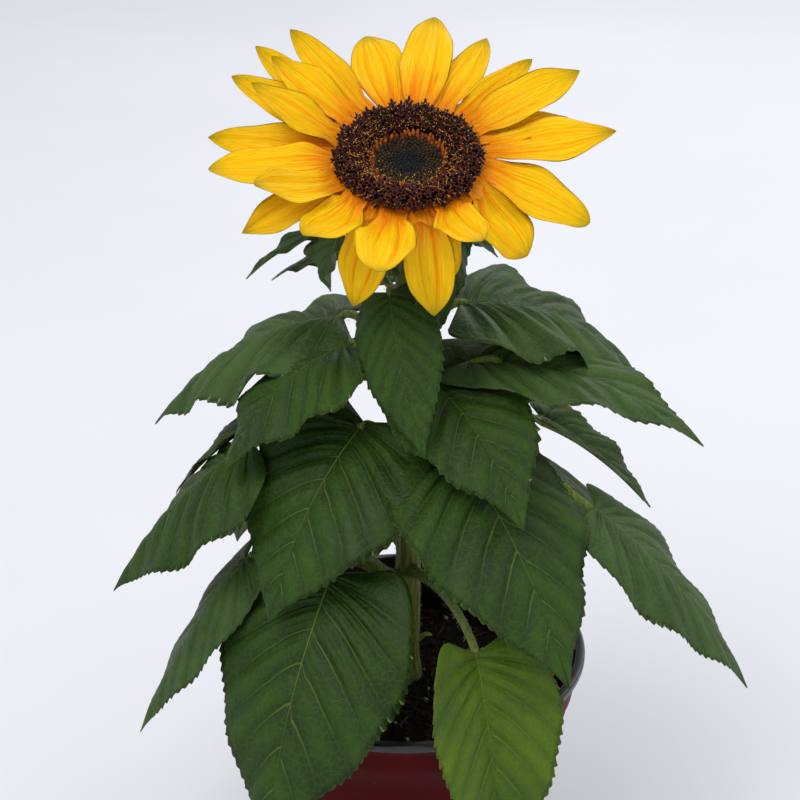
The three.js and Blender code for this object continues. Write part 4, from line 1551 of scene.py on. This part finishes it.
# ---------------------------------------------------------------- receptacle and bracts
@dataclass
class Involucre:
    """The green bowl behind the petals and the pointed bracts round it."""

    head: HeadFrame  # The flower head's frame
    face: HeadFrame  # The frame of the florets, which the bowl meets
    whorls: tuple[int, ...] = (15, 15, 12)  # Bracts in each whorl
    seed: int = 21  # Source of its unevenness

    def _bract(self, turn: float, level: int, rng: np.random.Generator) -> Surface:
        """One bract: a narrow pointed blade that hugs the bowl and then turns out.

        It arches from the bowl's foot past its rim to the tip, its half width is a sine of the
        share along, and its middle stands proud as a keel. Those in front stay lower and shorter.

        Args:
            turn: Where round the head it stands.
            level: Its whorl, 0 for the one nearest the petals.
            rng: Source of the unevenness.

        Returns:
            The bract, inner side 0 and outer side 1.
        """
        forward = max(0.0, 0.4 - math.sin(turn))
        swung = turn + rng.uniform(-0.08, 0.08)
        reach = np.array([24.5 - 0.5 * level, rng.uniform(31, 36) - 1.5 * level - 5.0 * forward])
        rise = np.array([-8.5 - 1.2 * level - 3.0 * forward,
                         rng.uniform(-11, -8) - 2.2 * level - 7.0 * forward])
        knots = np.vstack([self.head.place(np.array(8.0 * MM), np.array(turn),
                                           np.array(-20.5 * MM)),
                           self.face.place(reach * MM, np.array([turn, swung]), rise * MM)])
        widest, phase = rng.uniform(3.6, 4.8) * MM, rng.uniform()
        level_way = np.cross(self.head.out, self.head.outward(np.array(turn)))
        return arched_blade(
            knots, np.linspace(0.03, 0.985, 18), 9, level_way, self.head.out,
            half=lambda t: widest * np.sin(math.pi * t ** 0.72) ** 0.8,
            bow=lambda wide, t, v: wide * (
                0.35 * v ** 2 + 0.16 * np.sin(2 * math.pi * (2.1 * t + phase)) * v),
            thick=lambda v: (0.5 * (1 - v ** 6) + 0.5 * np.exp(-((v / 0.2) ** 2))) * MM)

    def build(self) -> None:
        """Makes the bowl and the bracts."""
        rng = np.random.default_rng(self.seed)
        points, _ = linked_points("receptacle")
        height = (points - self.head.centre) @ self.head.out
        reach = np.linalg.norm(points - self.head.centre - height[:, None] * self.head.out, axis=1)
        rows = np.unique(np.round(np.stack([height, reach], -1), 5), axis=0)
        outer = rows[rows[:, 1] > MM]
        widest = outer[:, 1].argmax()
        levels_at = np.linspace(outer[0, 0], outer[widest, 0], 20)
        radius = np.interp(levels_at, outer[:, 0], outer[:, 1])
        turns = steps_round(72)
        rings = self.head.place(radius[:, None] * (1.0 + 0.012 * np.cos(18 * turns)), turns,
                                levels_at[:, None])
        brim = np.array([[0.93, -5.0], [0.90, -2.6], [0.84, -1.6]]) * [self.face.radius, MM]
        rings = np.vstack([rings, self.face.place(brim[:, :1], turns, brim[:, 1:])])
        ends = [self.head.place(np.array(0.0), np.array(0.0), levels_at[0]),
                self.face.place(np.array(0.0), np.array(0.0), np.array(-4.1 * MM))]
        green = StalkFinish("receptacle_skin", (70, 96, 36), (108, 132, 62), (86, 104, 46)).make()
        Surface.loft(rings, ends[0], ends[1]).piece("receptacle_bowl", [green], "receptacle",
                                                    ("receptacle",))
        bracts = []
        for level, count in enumerate(self.whorls):
            turns = 2 * math.pi * (np.arange(count) + 0.5 * level) / count
            bracts += [self._bract(float(a) + rng.uniform(-0.06, 0.06), level, rng)
                       for a in turns]
        inner = GrainFinish("bract_inner", (62, 88, 34), (92, 116, 52), 90.0,
                            gloss=Gloss(0.55, 0.35, 0.25, 0.0, 0.0003)).make()
        outer_skin = GrainFinish("bract_outer", (74, 98, 44), (112, 134, 74), 90.0,
                                 gloss=Gloss(0.62, 0.3, 0.35, 0.0, 0.0003)).make()
        Surface.joined(bracts).piece("bracts", [inner, outer_skin], "receptacle")


# ---------------------------------------------------------------- stem
SHOOTS = ((2.9, 10.0, 17.0), (3.6, 13.0, 14.0), (2.4, 16.0, 10.0), (4.3, 8.0, 12.0),
          (0.4, 12.0, 9.0), (1.5, 20.0, 8.0), (2.7, 88.0, 11.0),
          (3.4, 90.0, 8.0))  # turn, height and length of each, in radians and millimetres
STEM_HAIRS, STALK_HAIRS = 3600, 130
STEM_EASE = 8  # rows to either side that ease the stem's bends


@dataclass
class Stem:
    """The stem with its ridges and nodes, the hairs on it and the small shoots at its foot."""

    leaves: list[Leaf]  # The leaves that grow from it
    sides: int = 40  # Steps round it
    rows: int = 190  # Steps along it
    seed: int = 31  # Source of its unevenness
    path: Array = field(init=False)
    radii: Array = field(init=False)

    def __post_init__(self) -> None:
        """Reads the rings of the stem's solid from its flat foot up."""
        points, linked = linked_points("stem")
        foot = np.flatnonzero(points[:, 2] < points[:, 2].min() + 0.1 * MM)
        rings = [points[level] for level in levels(foot, linked)]
        centres = np.array([ring.mean(0) for ring in rings])
        radii = np.array([np.linalg.norm(r - c, axis=1).mean() for r, c in zip(rings, centres)])
        gone = gone_along(centres)
        place = np.linspace(0.0, gone[-1], self.rows)
        near = np.stack([np.interp(place, gone, centres[:, k]) for k in range(3)], -1)
        window = np.hanning(2 * STEM_EASE + 1)
        window /= window.sum()
        padded = np.pad(near, ((STEM_EASE, STEM_EASE), (0, 0)), mode="reflect",
                        reflect_type="odd")
        self.path = np.stack([np.convolve(padded[:, k], window, "valid") for k in range(3)], -1)
        self.path[0, 2] = near[0, 2]
        self.radii = np.interp(place, gone, radii)

    def _relief(self) -> Array:
        """Shallow ridges along the stem, and a swelling at each leaf.

        The ridges are cosines of the turn and height, a swelling a bell curve of the height.

        Returns:
            Factors on the radius by row and step.
        """
        turn = steps_round(self.sides)
        z = self.path[:, 2][:, None]
        relief = (1.0 + 0.030 * np.cos(9 * turn + 14.0 * z) + 0.018 * np.cos(4 * turn - 30.0 * z)
                  + 0.012 * np.sin(170.0 * z + 3.0 * turn))
        _, first, second = carried_frames(self.path, np.array([0.0, 1.0, 0.0]))
        facing = (first[:, None] * np.cos(turn)[None, :, None]
                  + second[:, None] * np.sin(turn)[None, :, None])
        for leaf in self.leaves:
            root = leaf.stalk_path[1]
            toward = math.atan2(root[1], root[0])
            aim = facing[..., 0] * math.cos(toward) + facing[..., 1] * math.sin(toward)
            relief = relief + 0.16 * np.exp(-(((z - root[2]) / (4.5 * MM)) ** 2)) * np.clip(
                aim, 0, 1) ** 2
        return relief

    def _hairs(self, rng: np.random.Generator) -> Surface:
        """Short hairs that stand off the stem and the stalks, each a three-sided spike.

        Args:
            rng: Source of their places and lengths.

        Returns:
            All the hairs.
        """
        foot = round_rings(np.array(1.0), steps_round(3), np.array(0.0)) * 0.055 * MM
        middle = foot * 0.6 + np.array([0.0, 0.0, 0.6 * MM])
        spike = Surface.loft(np.stack([foot, middle]), np.zeros(3), 1.25 * MM * UP)
        lines = [(self.path, self.radii, STEM_HAIRS)]
        for leaf in self.leaves:
            path, radius = leaf.stalk_line()
            lines.append((path, np.full(len(path), radius), STALK_HAIRS))
        origins, stands = [], []
        for path, radii, count in lines:
            share = rng.uniform(0, len(path) - 1.001, count)
            low = share.astype(int)
            part = (share - low)[:, None]
            centre = path[low] * (1 - part) + path[low + 1] * part
            tangent = unit(path[low + 1] - path[low])
            chance = rng.normal(size=(count, 3))
            off = unit(chance - (chance * tangent).sum(-1, keepdims=True) * tangent)
            radius = radii[low] * (1 - part[:, 0]) + radii[low + 1] * part[:, 0]
            origins.append(centre + off * (radius * 0.98)[:, None])
            stands.append(unit(off + 0.35 * rng.normal(size=(count, 3))))
        third = np.vstack(stands)
        first = unit(np.cross(third, UP + 0.01))
        axes = np.stack([first, np.cross(third, first), third], 1)
        return spike.dealt(np.vstack(origins), axes, rng.uniform(0.6, 1.35, len(third)))

    @staticmethod
    def _shoot(turn: float, foot: float, length: float) -> Surface:
        """One curled shoot: a narrow blade that arches out of the stem.

        Args:
            turn: Where round the stem it stands.
            foot: Its height.
            length: Its reach in millimetres.

        Returns:
            The blade.
        """
        outward = np.array([math.cos(turn), math.sin(turn), 0.0])
        root = np.array([0, 0, foot]) + outward * 3.6 * MM
        knots = np.array([root, root + outward * length * 0.55 * MM + UP * length * 0.75 * MM,
                          root + outward * length * MM + UP * length * 0.42 * MM])
        return arched_blade(
            knots, np.linspace(0.03, 0.98, 14), 7, np.cross(UP, outward), None,
            half=lambda t: 0.19 * length * MM * np.sin(math.pi * t ** 0.8) ** 0.8,
            bow=lambda wide, t, v: wide * (0.5 * v ** 2 + 0.2 * np.sin(9 * t + turn) * v),
            thick=lambda v: 0.5 * MM * (1 - v ** 6))

    def _shoots(self) -> Surface:
        """The small curled shoots on the stem."""
        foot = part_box("stem")[0][2]
        return Surface.joined([self._shoot(turn, foot + height * MM, length)
                               for turn, height, length in SHOOTS]).with_finish(0)

    def build(self) -> None:
        """Makes the stem, its hairs and its shoots."""
        rng = np.random.default_rng(self.seed)
        skin = StalkFinish("stem_skin", (92, 108, 40), (146, 156, 78), (112, 104, 52)).make()
        tube(self.path, self.radii, self.sides, relief=self._relief()).piece(
            "stem_skin", [skin], "stem", ("stem",))
        pale = GrainFinish("hair", (186, 192, 150), (214, 218, 186), 200.0,
                           gloss=Gloss(0.5, 0.3)).make()
        self._hairs(rng).piece("stem_hairs", [pale], "stem")
        fresh = GrainFinish("shoot", (104, 128, 44), (158, 172, 82), 160.0,
                            gloss=Gloss(0.5, 0.4, 0.2)).make()
        self._shoots().piece("stem_shoots", [fresh], "stem")


# ---------------------------------------------------------------- pot and compost
FOOT_ROUND, LIP_ROUND, CURL_ROUND = 1.5 * MM, 0.8 * MM, 0.7 * MM  # radii of the pot's edges
HOLES, HOLE_RING, HOLE_RADIUS = 6, 37 * MM, 4 * MM


@dataclass
class Pot:
    """The two-tone plastic pot: maroon outside, black lip and inside."""

    lip_height: float = 3.2 * MM  # How deep the lip is
    wall: float = 1.7 * MM  # Wall thickness
    floor: float = 2.4 * MM  # Floor thickness
    ring_drop: float = 17.0 * MM  # From the top down to the step in the wall
    ring_step: float = 0.9 * MM  # Depth of that step
    overhang: float = 2.0 * MM  # How far the lip stands out
    sides: int = 180  # Steps round

    def _outline(self) -> tuple[Array, Array]:
        """Outline from under the floor, up the outside, over the lip and down the inside.

        Returns:
            Rows of radius and height, and the material number from each row to the next.
        """
        points, _ = linked_points("pot")
        low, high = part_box("pot")
        top, lip = float(high[2]), float(high[0] - low[0]) / 2
        reach = np.hypot(points[:, 0], points[:, 1])
        foot = float(reach[points[:, 2] < 0.1 * MM].max()) + FOOT_ROUND
        under = top - self.lip_height
        outer = lambda z: foot + (lip - self.overhang - foot) * z / under
        inner = lambda z: outer(z) - self.ring_step - self.wall
        ring = top - self.ring_drop
        bend = np.linspace(0, math.pi / 2, 6)
        # a rounded edge: a quarter turn of radius r round x and z, with each way's sign
        turned = lambda x, z, r, s, c: [[x + r * s * math.sin(a), z + r * c * math.cos(a)]
                                        for a in bend]
        base = turned(foot - FOOT_ROUND, FOOT_ROUND, FOOT_ROUND, 1, -1)
        lower = [[outer(z) - self.ring_step * smooth(0.0, 6 * MM, np.array(z)), z]
                 for z in np.linspace(3 * MM, ring - 1.2 * MM, 14)]
        upper = [[outer(z), z] for z in np.linspace(ring, under - 0.5 * MM, 5)]
        roll = turned(lip - LIP_ROUND, top - LIP_ROUND, LIP_ROUND, 1, 1)[::-1]
        lip_rows = [[lip - 1.2 * MM, under - 0.2 * MM], [lip - 0.2 * MM, under + 0.1 * MM],
                    [lip, under + 0.7 * MM], *roll]
        curl = turned(inner(top) + CURL_ROUND, top - CURL_ROUND, CURL_ROUND, -1, 1)
        inside = [[inner(z), z] for z in np.linspace(top - 3 * MM, self.floor, 12)]
        rows = np.array([[0.0, 0.0], *base, *lower, *upper, *lip_rows, *curl, *inside,
                         [0.0, self.floor]], float)
        black_from = 1 + len(base) + len(lower) + len(upper)
        finish = np.where(np.arange(1, len(rows) - 1) >= black_from, 1, 0)
        return rows, finish

    def build(self) -> None:
        """Makes the pot's wall and its pierced floor."""
        maroon = GrainFinish("pot_maroon", (64, 3, 5), (82, 7, 9), 26.0, 900.0,
                             Gloss(0.5, 0.05, bump=0.00006)).make()
        black = GrainFinish("pot_black", (13, 12, 13), (22, 21, 22), 30.0, 900.0,
                            Gloss(0.34, 0.5, 0.0, 0.1, 0.00006)).make()
        rows, finish = self._outline()
        hole_edge = 0.9 * float(rows[1:, 0][0])
        loop = rows.copy()
        loop[0, 0] = loop[-1, 0] = hole_edge
        turn = steps_round(self.sides)
        points = round_rings(loop[:, :1], turn, loop[:, 1:]).reshape(-1, 3)
        count = len(loop)
        i, j = np.meshgrid(np.arange(count), np.arange(self.sides), indexing="ij")
        a = i * self.sides + j
        b = i * self.sides + (j + 1) % self.sides
        c = (i + 1) % count * self.sides + (j + 1) % self.sides
        d = (i + 1) % count * self.sides + j
        faces = np.concatenate([np.stack([a, b, c], -1), np.stack([a, c, d], -1)], 1)
        tone = np.concatenate([[0], finish, [1]])[:, None]
        wall = Surface(points, faces.reshape(-1, 3), np.stack([i, j], -1).reshape(-1, 2) / 100.0,
                       np.repeat(tone, 2 * self.sides, 1).reshape(-1)).turned_out()
        wall.piece("pot_wall", [maroon, black], "pot", ("pot",))
        self._floor(hole_edge, black)

    def _floor(self, radius: float, material: Material) -> None:
        """The floor: a flat round curve with six round holes, given its thickness.

        Args:
            radius: Where it meets the wall's foot.
            material: Its finish.
        """
        curve = bpy.data.curves.new("pot_floor_outline", "CURVE")
        curve.dimensions = "2D"
        curve.fill_mode = "BOTH"
        curve.extrude = self.floor / 2 - 0.05 * MM
        circles = [(0.0, 0.0, radius, 96)]
        for turn in steps_round(HOLES) + math.radians(30):
            circles.append((HOLE_RING * math.cos(turn), HOLE_RING * math.sin(turn),
                            HOLE_RADIUS, 32))
        for x, y, size, steps in circles:
            turn = steps_round(steps)
            spline = curve.splines.new("POLY")
            spline.points.add(steps - 1)
            rows = np.stack([x + size * np.cos(turn), y + size * np.sin(turn), 0 * turn,
                             np.ones(steps)], -1)
            spline.points.foreach_set("co", rows.ravel())
            spline.use_cyclic_u = True
        helper = placed("pot_floor_helper", curve)
        bpy.context.view_layer.update()
        mesh = bpy.data.meshes.new_from_object(helper.evaluated_get(
            bpy.context.evaluated_depsgraph_get()))
        bpy.data.objects.remove(helper)
        mesh.calc_loop_triangles()
        once, faces = own_points(mesh, 7)
        plate = Surface(once + UP * self.floor / 2, faces, once[:, :2],
                        np.zeros(len(faces), int)).turned_out()
        item = plate.piece("pot_floor", [material], "pot")
        item.data.polygons.foreach_set("use_smooth", np.zeros(len(faces), bool))
        bpy.data.meshes.remove(mesh)


@dataclass
class Compost:
    """The compost: an uneven dark bed with crumbs, fibres and pale bits on it."""

    rows: int = 70  # Steps from the middle to the wall
    sides: int = 200  # Steps round
    crumbs: int = 2200  # How many crumbs lie on it
    fibres: int = 170  # How many fibres
    pale: int = 46  # How many pale bits
    bed_seed: int = 51  # Source of the bed's unevenness
    crumb_seed: int = 52  # and of what lies on it

    def _height(self, radius: Array, turn: Array) -> Array:
        """The bed's height at a place: the solid's own, and three sizes of unevenness.

        Args:
            radius: Distance from the axis.
            turn: Turn round it.

        Returns:
            Heights.
        """
        x, y = radius * np.cos(turn), radius * np.sin(turn)
        share = radius / self.reach
        base = self.top - 2.2 * MM * smooth(0.25, 0.85, share) - 2.4 * MM * smooth(0.8, 1, share)
        rng = np.random.default_rng(self.bed_seed)
        bumps = (1.5 * ripple(rng, x, y, 28.0, 6) + 0.8 * ripple(rng, x, y, 90.0, 8)
                 + 0.45 * ripple(rng, x, y, 260.0, 10))
        return base - 1.6 * MM + bumps * MM * (1.0 - 0.5 * smooth(0.9, 1.0, share))

    @staticmethod
    def _crumb(rng: np.random.Generator) -> Surface:
        """An uneven lump: a coarse ball whose radius is pushed in and out at chance.

        Args:
            rng: Source of the unevenness.

        Returns:
            The template.
        """
        tilt = np.linspace(0.35, math.pi - 0.35, 4)[:, None]
        size = rng.uniform(0.65, 1.2, (4, 6))
        rings = round_rings(size * np.sin(tilt), steps_round(6), size * np.cos(tilt)) * MM
        return Surface.loft(rings, MM * UP, -MM * UP)

    def _scatter(self, count: int, rng: np.random.Generator) -> tuple[Array, Array]:
        """Chance places on the bed, and chance axes at each.

        Args:
            count: How many.
            rng: Source of the chance.

        Returns:
            Places and axes.
        """
        radius = self.reach * np.sqrt(rng.uniform(0.01, 0.98, count))
        turn = rng.uniform(0, 2 * math.pi, count)
        spots = round_rings(radius, turn, self._height(radius, turn))
        third = unit(rng.normal(size=(count, 3)))
        first = unit(np.cross(third, rng.normal(size=(count, 3))))
        return spots, np.stack([first, np.cross(third, first), third], 1)

    def build(self) -> None:
        """Makes the bed and what lies on it."""
        rng = np.random.default_rng(self.crumb_seed)
        low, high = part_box("soil")
        self.top = float(high[2])
        points, _ = linked_points("soil")
        reach = np.hypot(points[:, 0], points[:, 1])
        self.reach = float(reach.max())
        foot = float(reach[points[:, 2] < low[2] + 0.2 * MM].max())
        radius = np.linspace(0.02, 1.0, self.rows) * self.reach
        turn = steps_round(self.sides)
        r, a = np.meshgrid(radius, turn, indexing="ij")
        bed = round_rings(r, a, self._height(r, a))
        side = round_rings(foot, turn, float(low[2]))[None]
        dark = GrainFinish("compost_bed", (20, 16, 13), (40, 32, 25), 420.0, 1600.0,
                           Gloss(0.95, 0.15, bump=0.0012)).make()
        Surface.loft(np.vstack([bed, side]), UP * bed[0, :, 2].mean(), UP * float(low[2])).piece(
            "compost_bed", [dark], "compost", ("soil",))

        spots, axes = self._scatter(self.crumbs, rng)
        kinds = [self._crumb(rng).dealt(spots[k::5], axes[k::5],
                                        rng.uniform(0.35, 1.7, len(spots[k::5])) ** 1.3)
                 for k in range(5)]
        crumb = GrainFinish("compost_crumb", (24, 18, 14), (58, 44, 32), 240.0, 1800.0,
                            Gloss(0.92, 0.2, bump=0.0008)).make()
        Surface.joined(kinds).piece("compost_crumbs", [crumb], "compost")

        spots, axes = self._scatter(self.pale, rng)
        stone = GrainFinish("compost_perlite", (150, 142, 126), (206, 200, 186), 300.0, 2000.0,
                            Gloss(0.85, 0.25, bump=0.0006)).make()
        self._crumb(rng).dealt(spots + UP * 0.6 * MM, axes,
                               rng.uniform(0.5, 1.35, self.pale)).piece(
            "compost_pale_bits", [stone], "compost")

        spots, axes = self._scatter(self.fibres, rng)
        t = np.linspace(-1, 1, 5)
        path = np.stack([3.4 * t, 0.7 * np.sin(2.2 * t), 0.25 * t ** 2], -1) * MM
        shred = tube(path, np.full(5, 0.30 * MM), 4, UP)
        flat = axes.copy()
        flat[:, 0, 2] *= 0.18
        flat[:, 0] = unit(flat[:, 0])
        flat[:, 1] = unit(np.cross(UP, flat[:, 0]))
        flat[:, 2] = np.cross(flat[:, 0], flat[:, 1])
        wood = GrainFinish("compost_fibre", (58, 40, 26), (118, 90, 62), 300.0, 1800.0,
                           Gloss(0.9, 0.2)).make()
        shred.dealt(spots + UP * 0.5 * MM, flat, rng.uniform(0.5, 1.5, self.fibres)).piece(
            "compost_fibres", [wood], "compost")


# ---------------------------------------------------------------- studio
PLANT_MIDDLE = (0.0, 0.0, 0.22)
FLOOR_REACH = 6.0
LAMPS = (  # name, place, width, watts and tint
    ("light_key", (-0.55, -0.85, 1.7), 1.0, 15.5, (1.0, 0.99, 0.96)),
    ("light_fill", (1.4, -0.6, 1.1), 1.4, 5.0, (0.98, 0.98, 1.0)),
    ("light_back", (0.6, 1.4, 1.3), 1.2, 10.0, (1.0, 1.0, 1.0)))


@dataclass
class Studio:
    """A plain pale floor, soft light from above and the camera in front."""

    eye: tuple[float, float, float] = (-0.0021, -0.7125, 0.5741)  # Where the camera stands
    pitch: float = 25.32  # Degrees that it looks down
    lens: float = 90.0  # Its lens in millimetres
    sensor: float = 36.0  # Its sensor's width in millimetres

    def _floor(self) -> None:
        """A wide pale floor with the faintest grain."""
        mesh = bpy.data.meshes.new("studio_floor")
        corners = [(x * FLOOR_REACH, y * FLOOR_REACH, 0)
                   for x, y in ((-1, -1), (1, -1), (1, 1), (-1, 1))]
        mesh.from_pydata(corners, [], [(0, 1, 2, 3)])
        floor = placed("studio_floor", mesh)
        mesh.materials.append(GrainFinish("floor_paint", (226, 227, 233), (230, 231, 237), 2.0,
                                          60.0, Gloss(0.8, 0.1, bump=0.0001)).make())

    @staticmethod
    def _lamp(name: str, place: tuple[float, float, float], size: float, watts: float,
              tint: Colour) -> None:
        """A square soft light that looks at the plant's middle.

        Args:
            name: The light's name.
            place: Where it hangs.
            size: Its width.
            watts: Its power.
            tint: Its colour.
        """
        lamp = bpy.data.lights.new(name, "AREA")
        lamp.size, lamp.energy, lamp.color = size, watts, tint
        item = placed(name, lamp)
        item.location = place
        aim = Vector(PLANT_MIDDLE) - item.location
        item.rotation_euler = aim.to_track_quat("-Z", "Y").to_euler()

    def build(self) -> None:
        """Makes the floor, the lights and the camera."""
        self._floor()
        world = bpy.data.worlds.new("studio_sky")
        bpy.context.scene.world = world
        world.use_nodes = True
        sky = world.node_tree.nodes["Background"]
        sky.inputs["Color"].default_value = (0.96, 0.97, 1.0, 1.0)
        sky.inputs["Strength"].default_value = 0.68
        for lamp in LAMPS:
            self._lamp(*lamp)
        camera = bpy.data.cameras.new("camera")
        camera.lens, camera.sensor_width = self.lens, self.sensor
        item = placed("camera", camera)
        item.location = self.eye
        item.rotation_euler = (math.radians(90.0 - self.pitch), 0.0, 0.0)
        bpy.context.scene.camera = item
        bpy.context.scene.view_settings.view_transform = "Standard"


def main() -> None:
    """Builds the studio and the plant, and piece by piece."""
    global EFFECTS
    logging.basicConfig(level=logging.INFO, format="%(message)s", stream=sys.stdout)
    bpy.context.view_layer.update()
    EFFECTS = Effects()
    Studio().build()
    head = HeadFrame.read()
    foliage = Foliage()
    face = head.leaned_back(math.radians(FACE_LEAN), FACE_DROP)
    for part in (Pot(), Compost(), Stem(foliage.leaves), foliage, Involucre(head, face),
                 Corolla(head, face), Disc(face)):
        LOG.info("building %s", type(part).__name__)
        part.build()


if __name__ == "__main__":
    main()
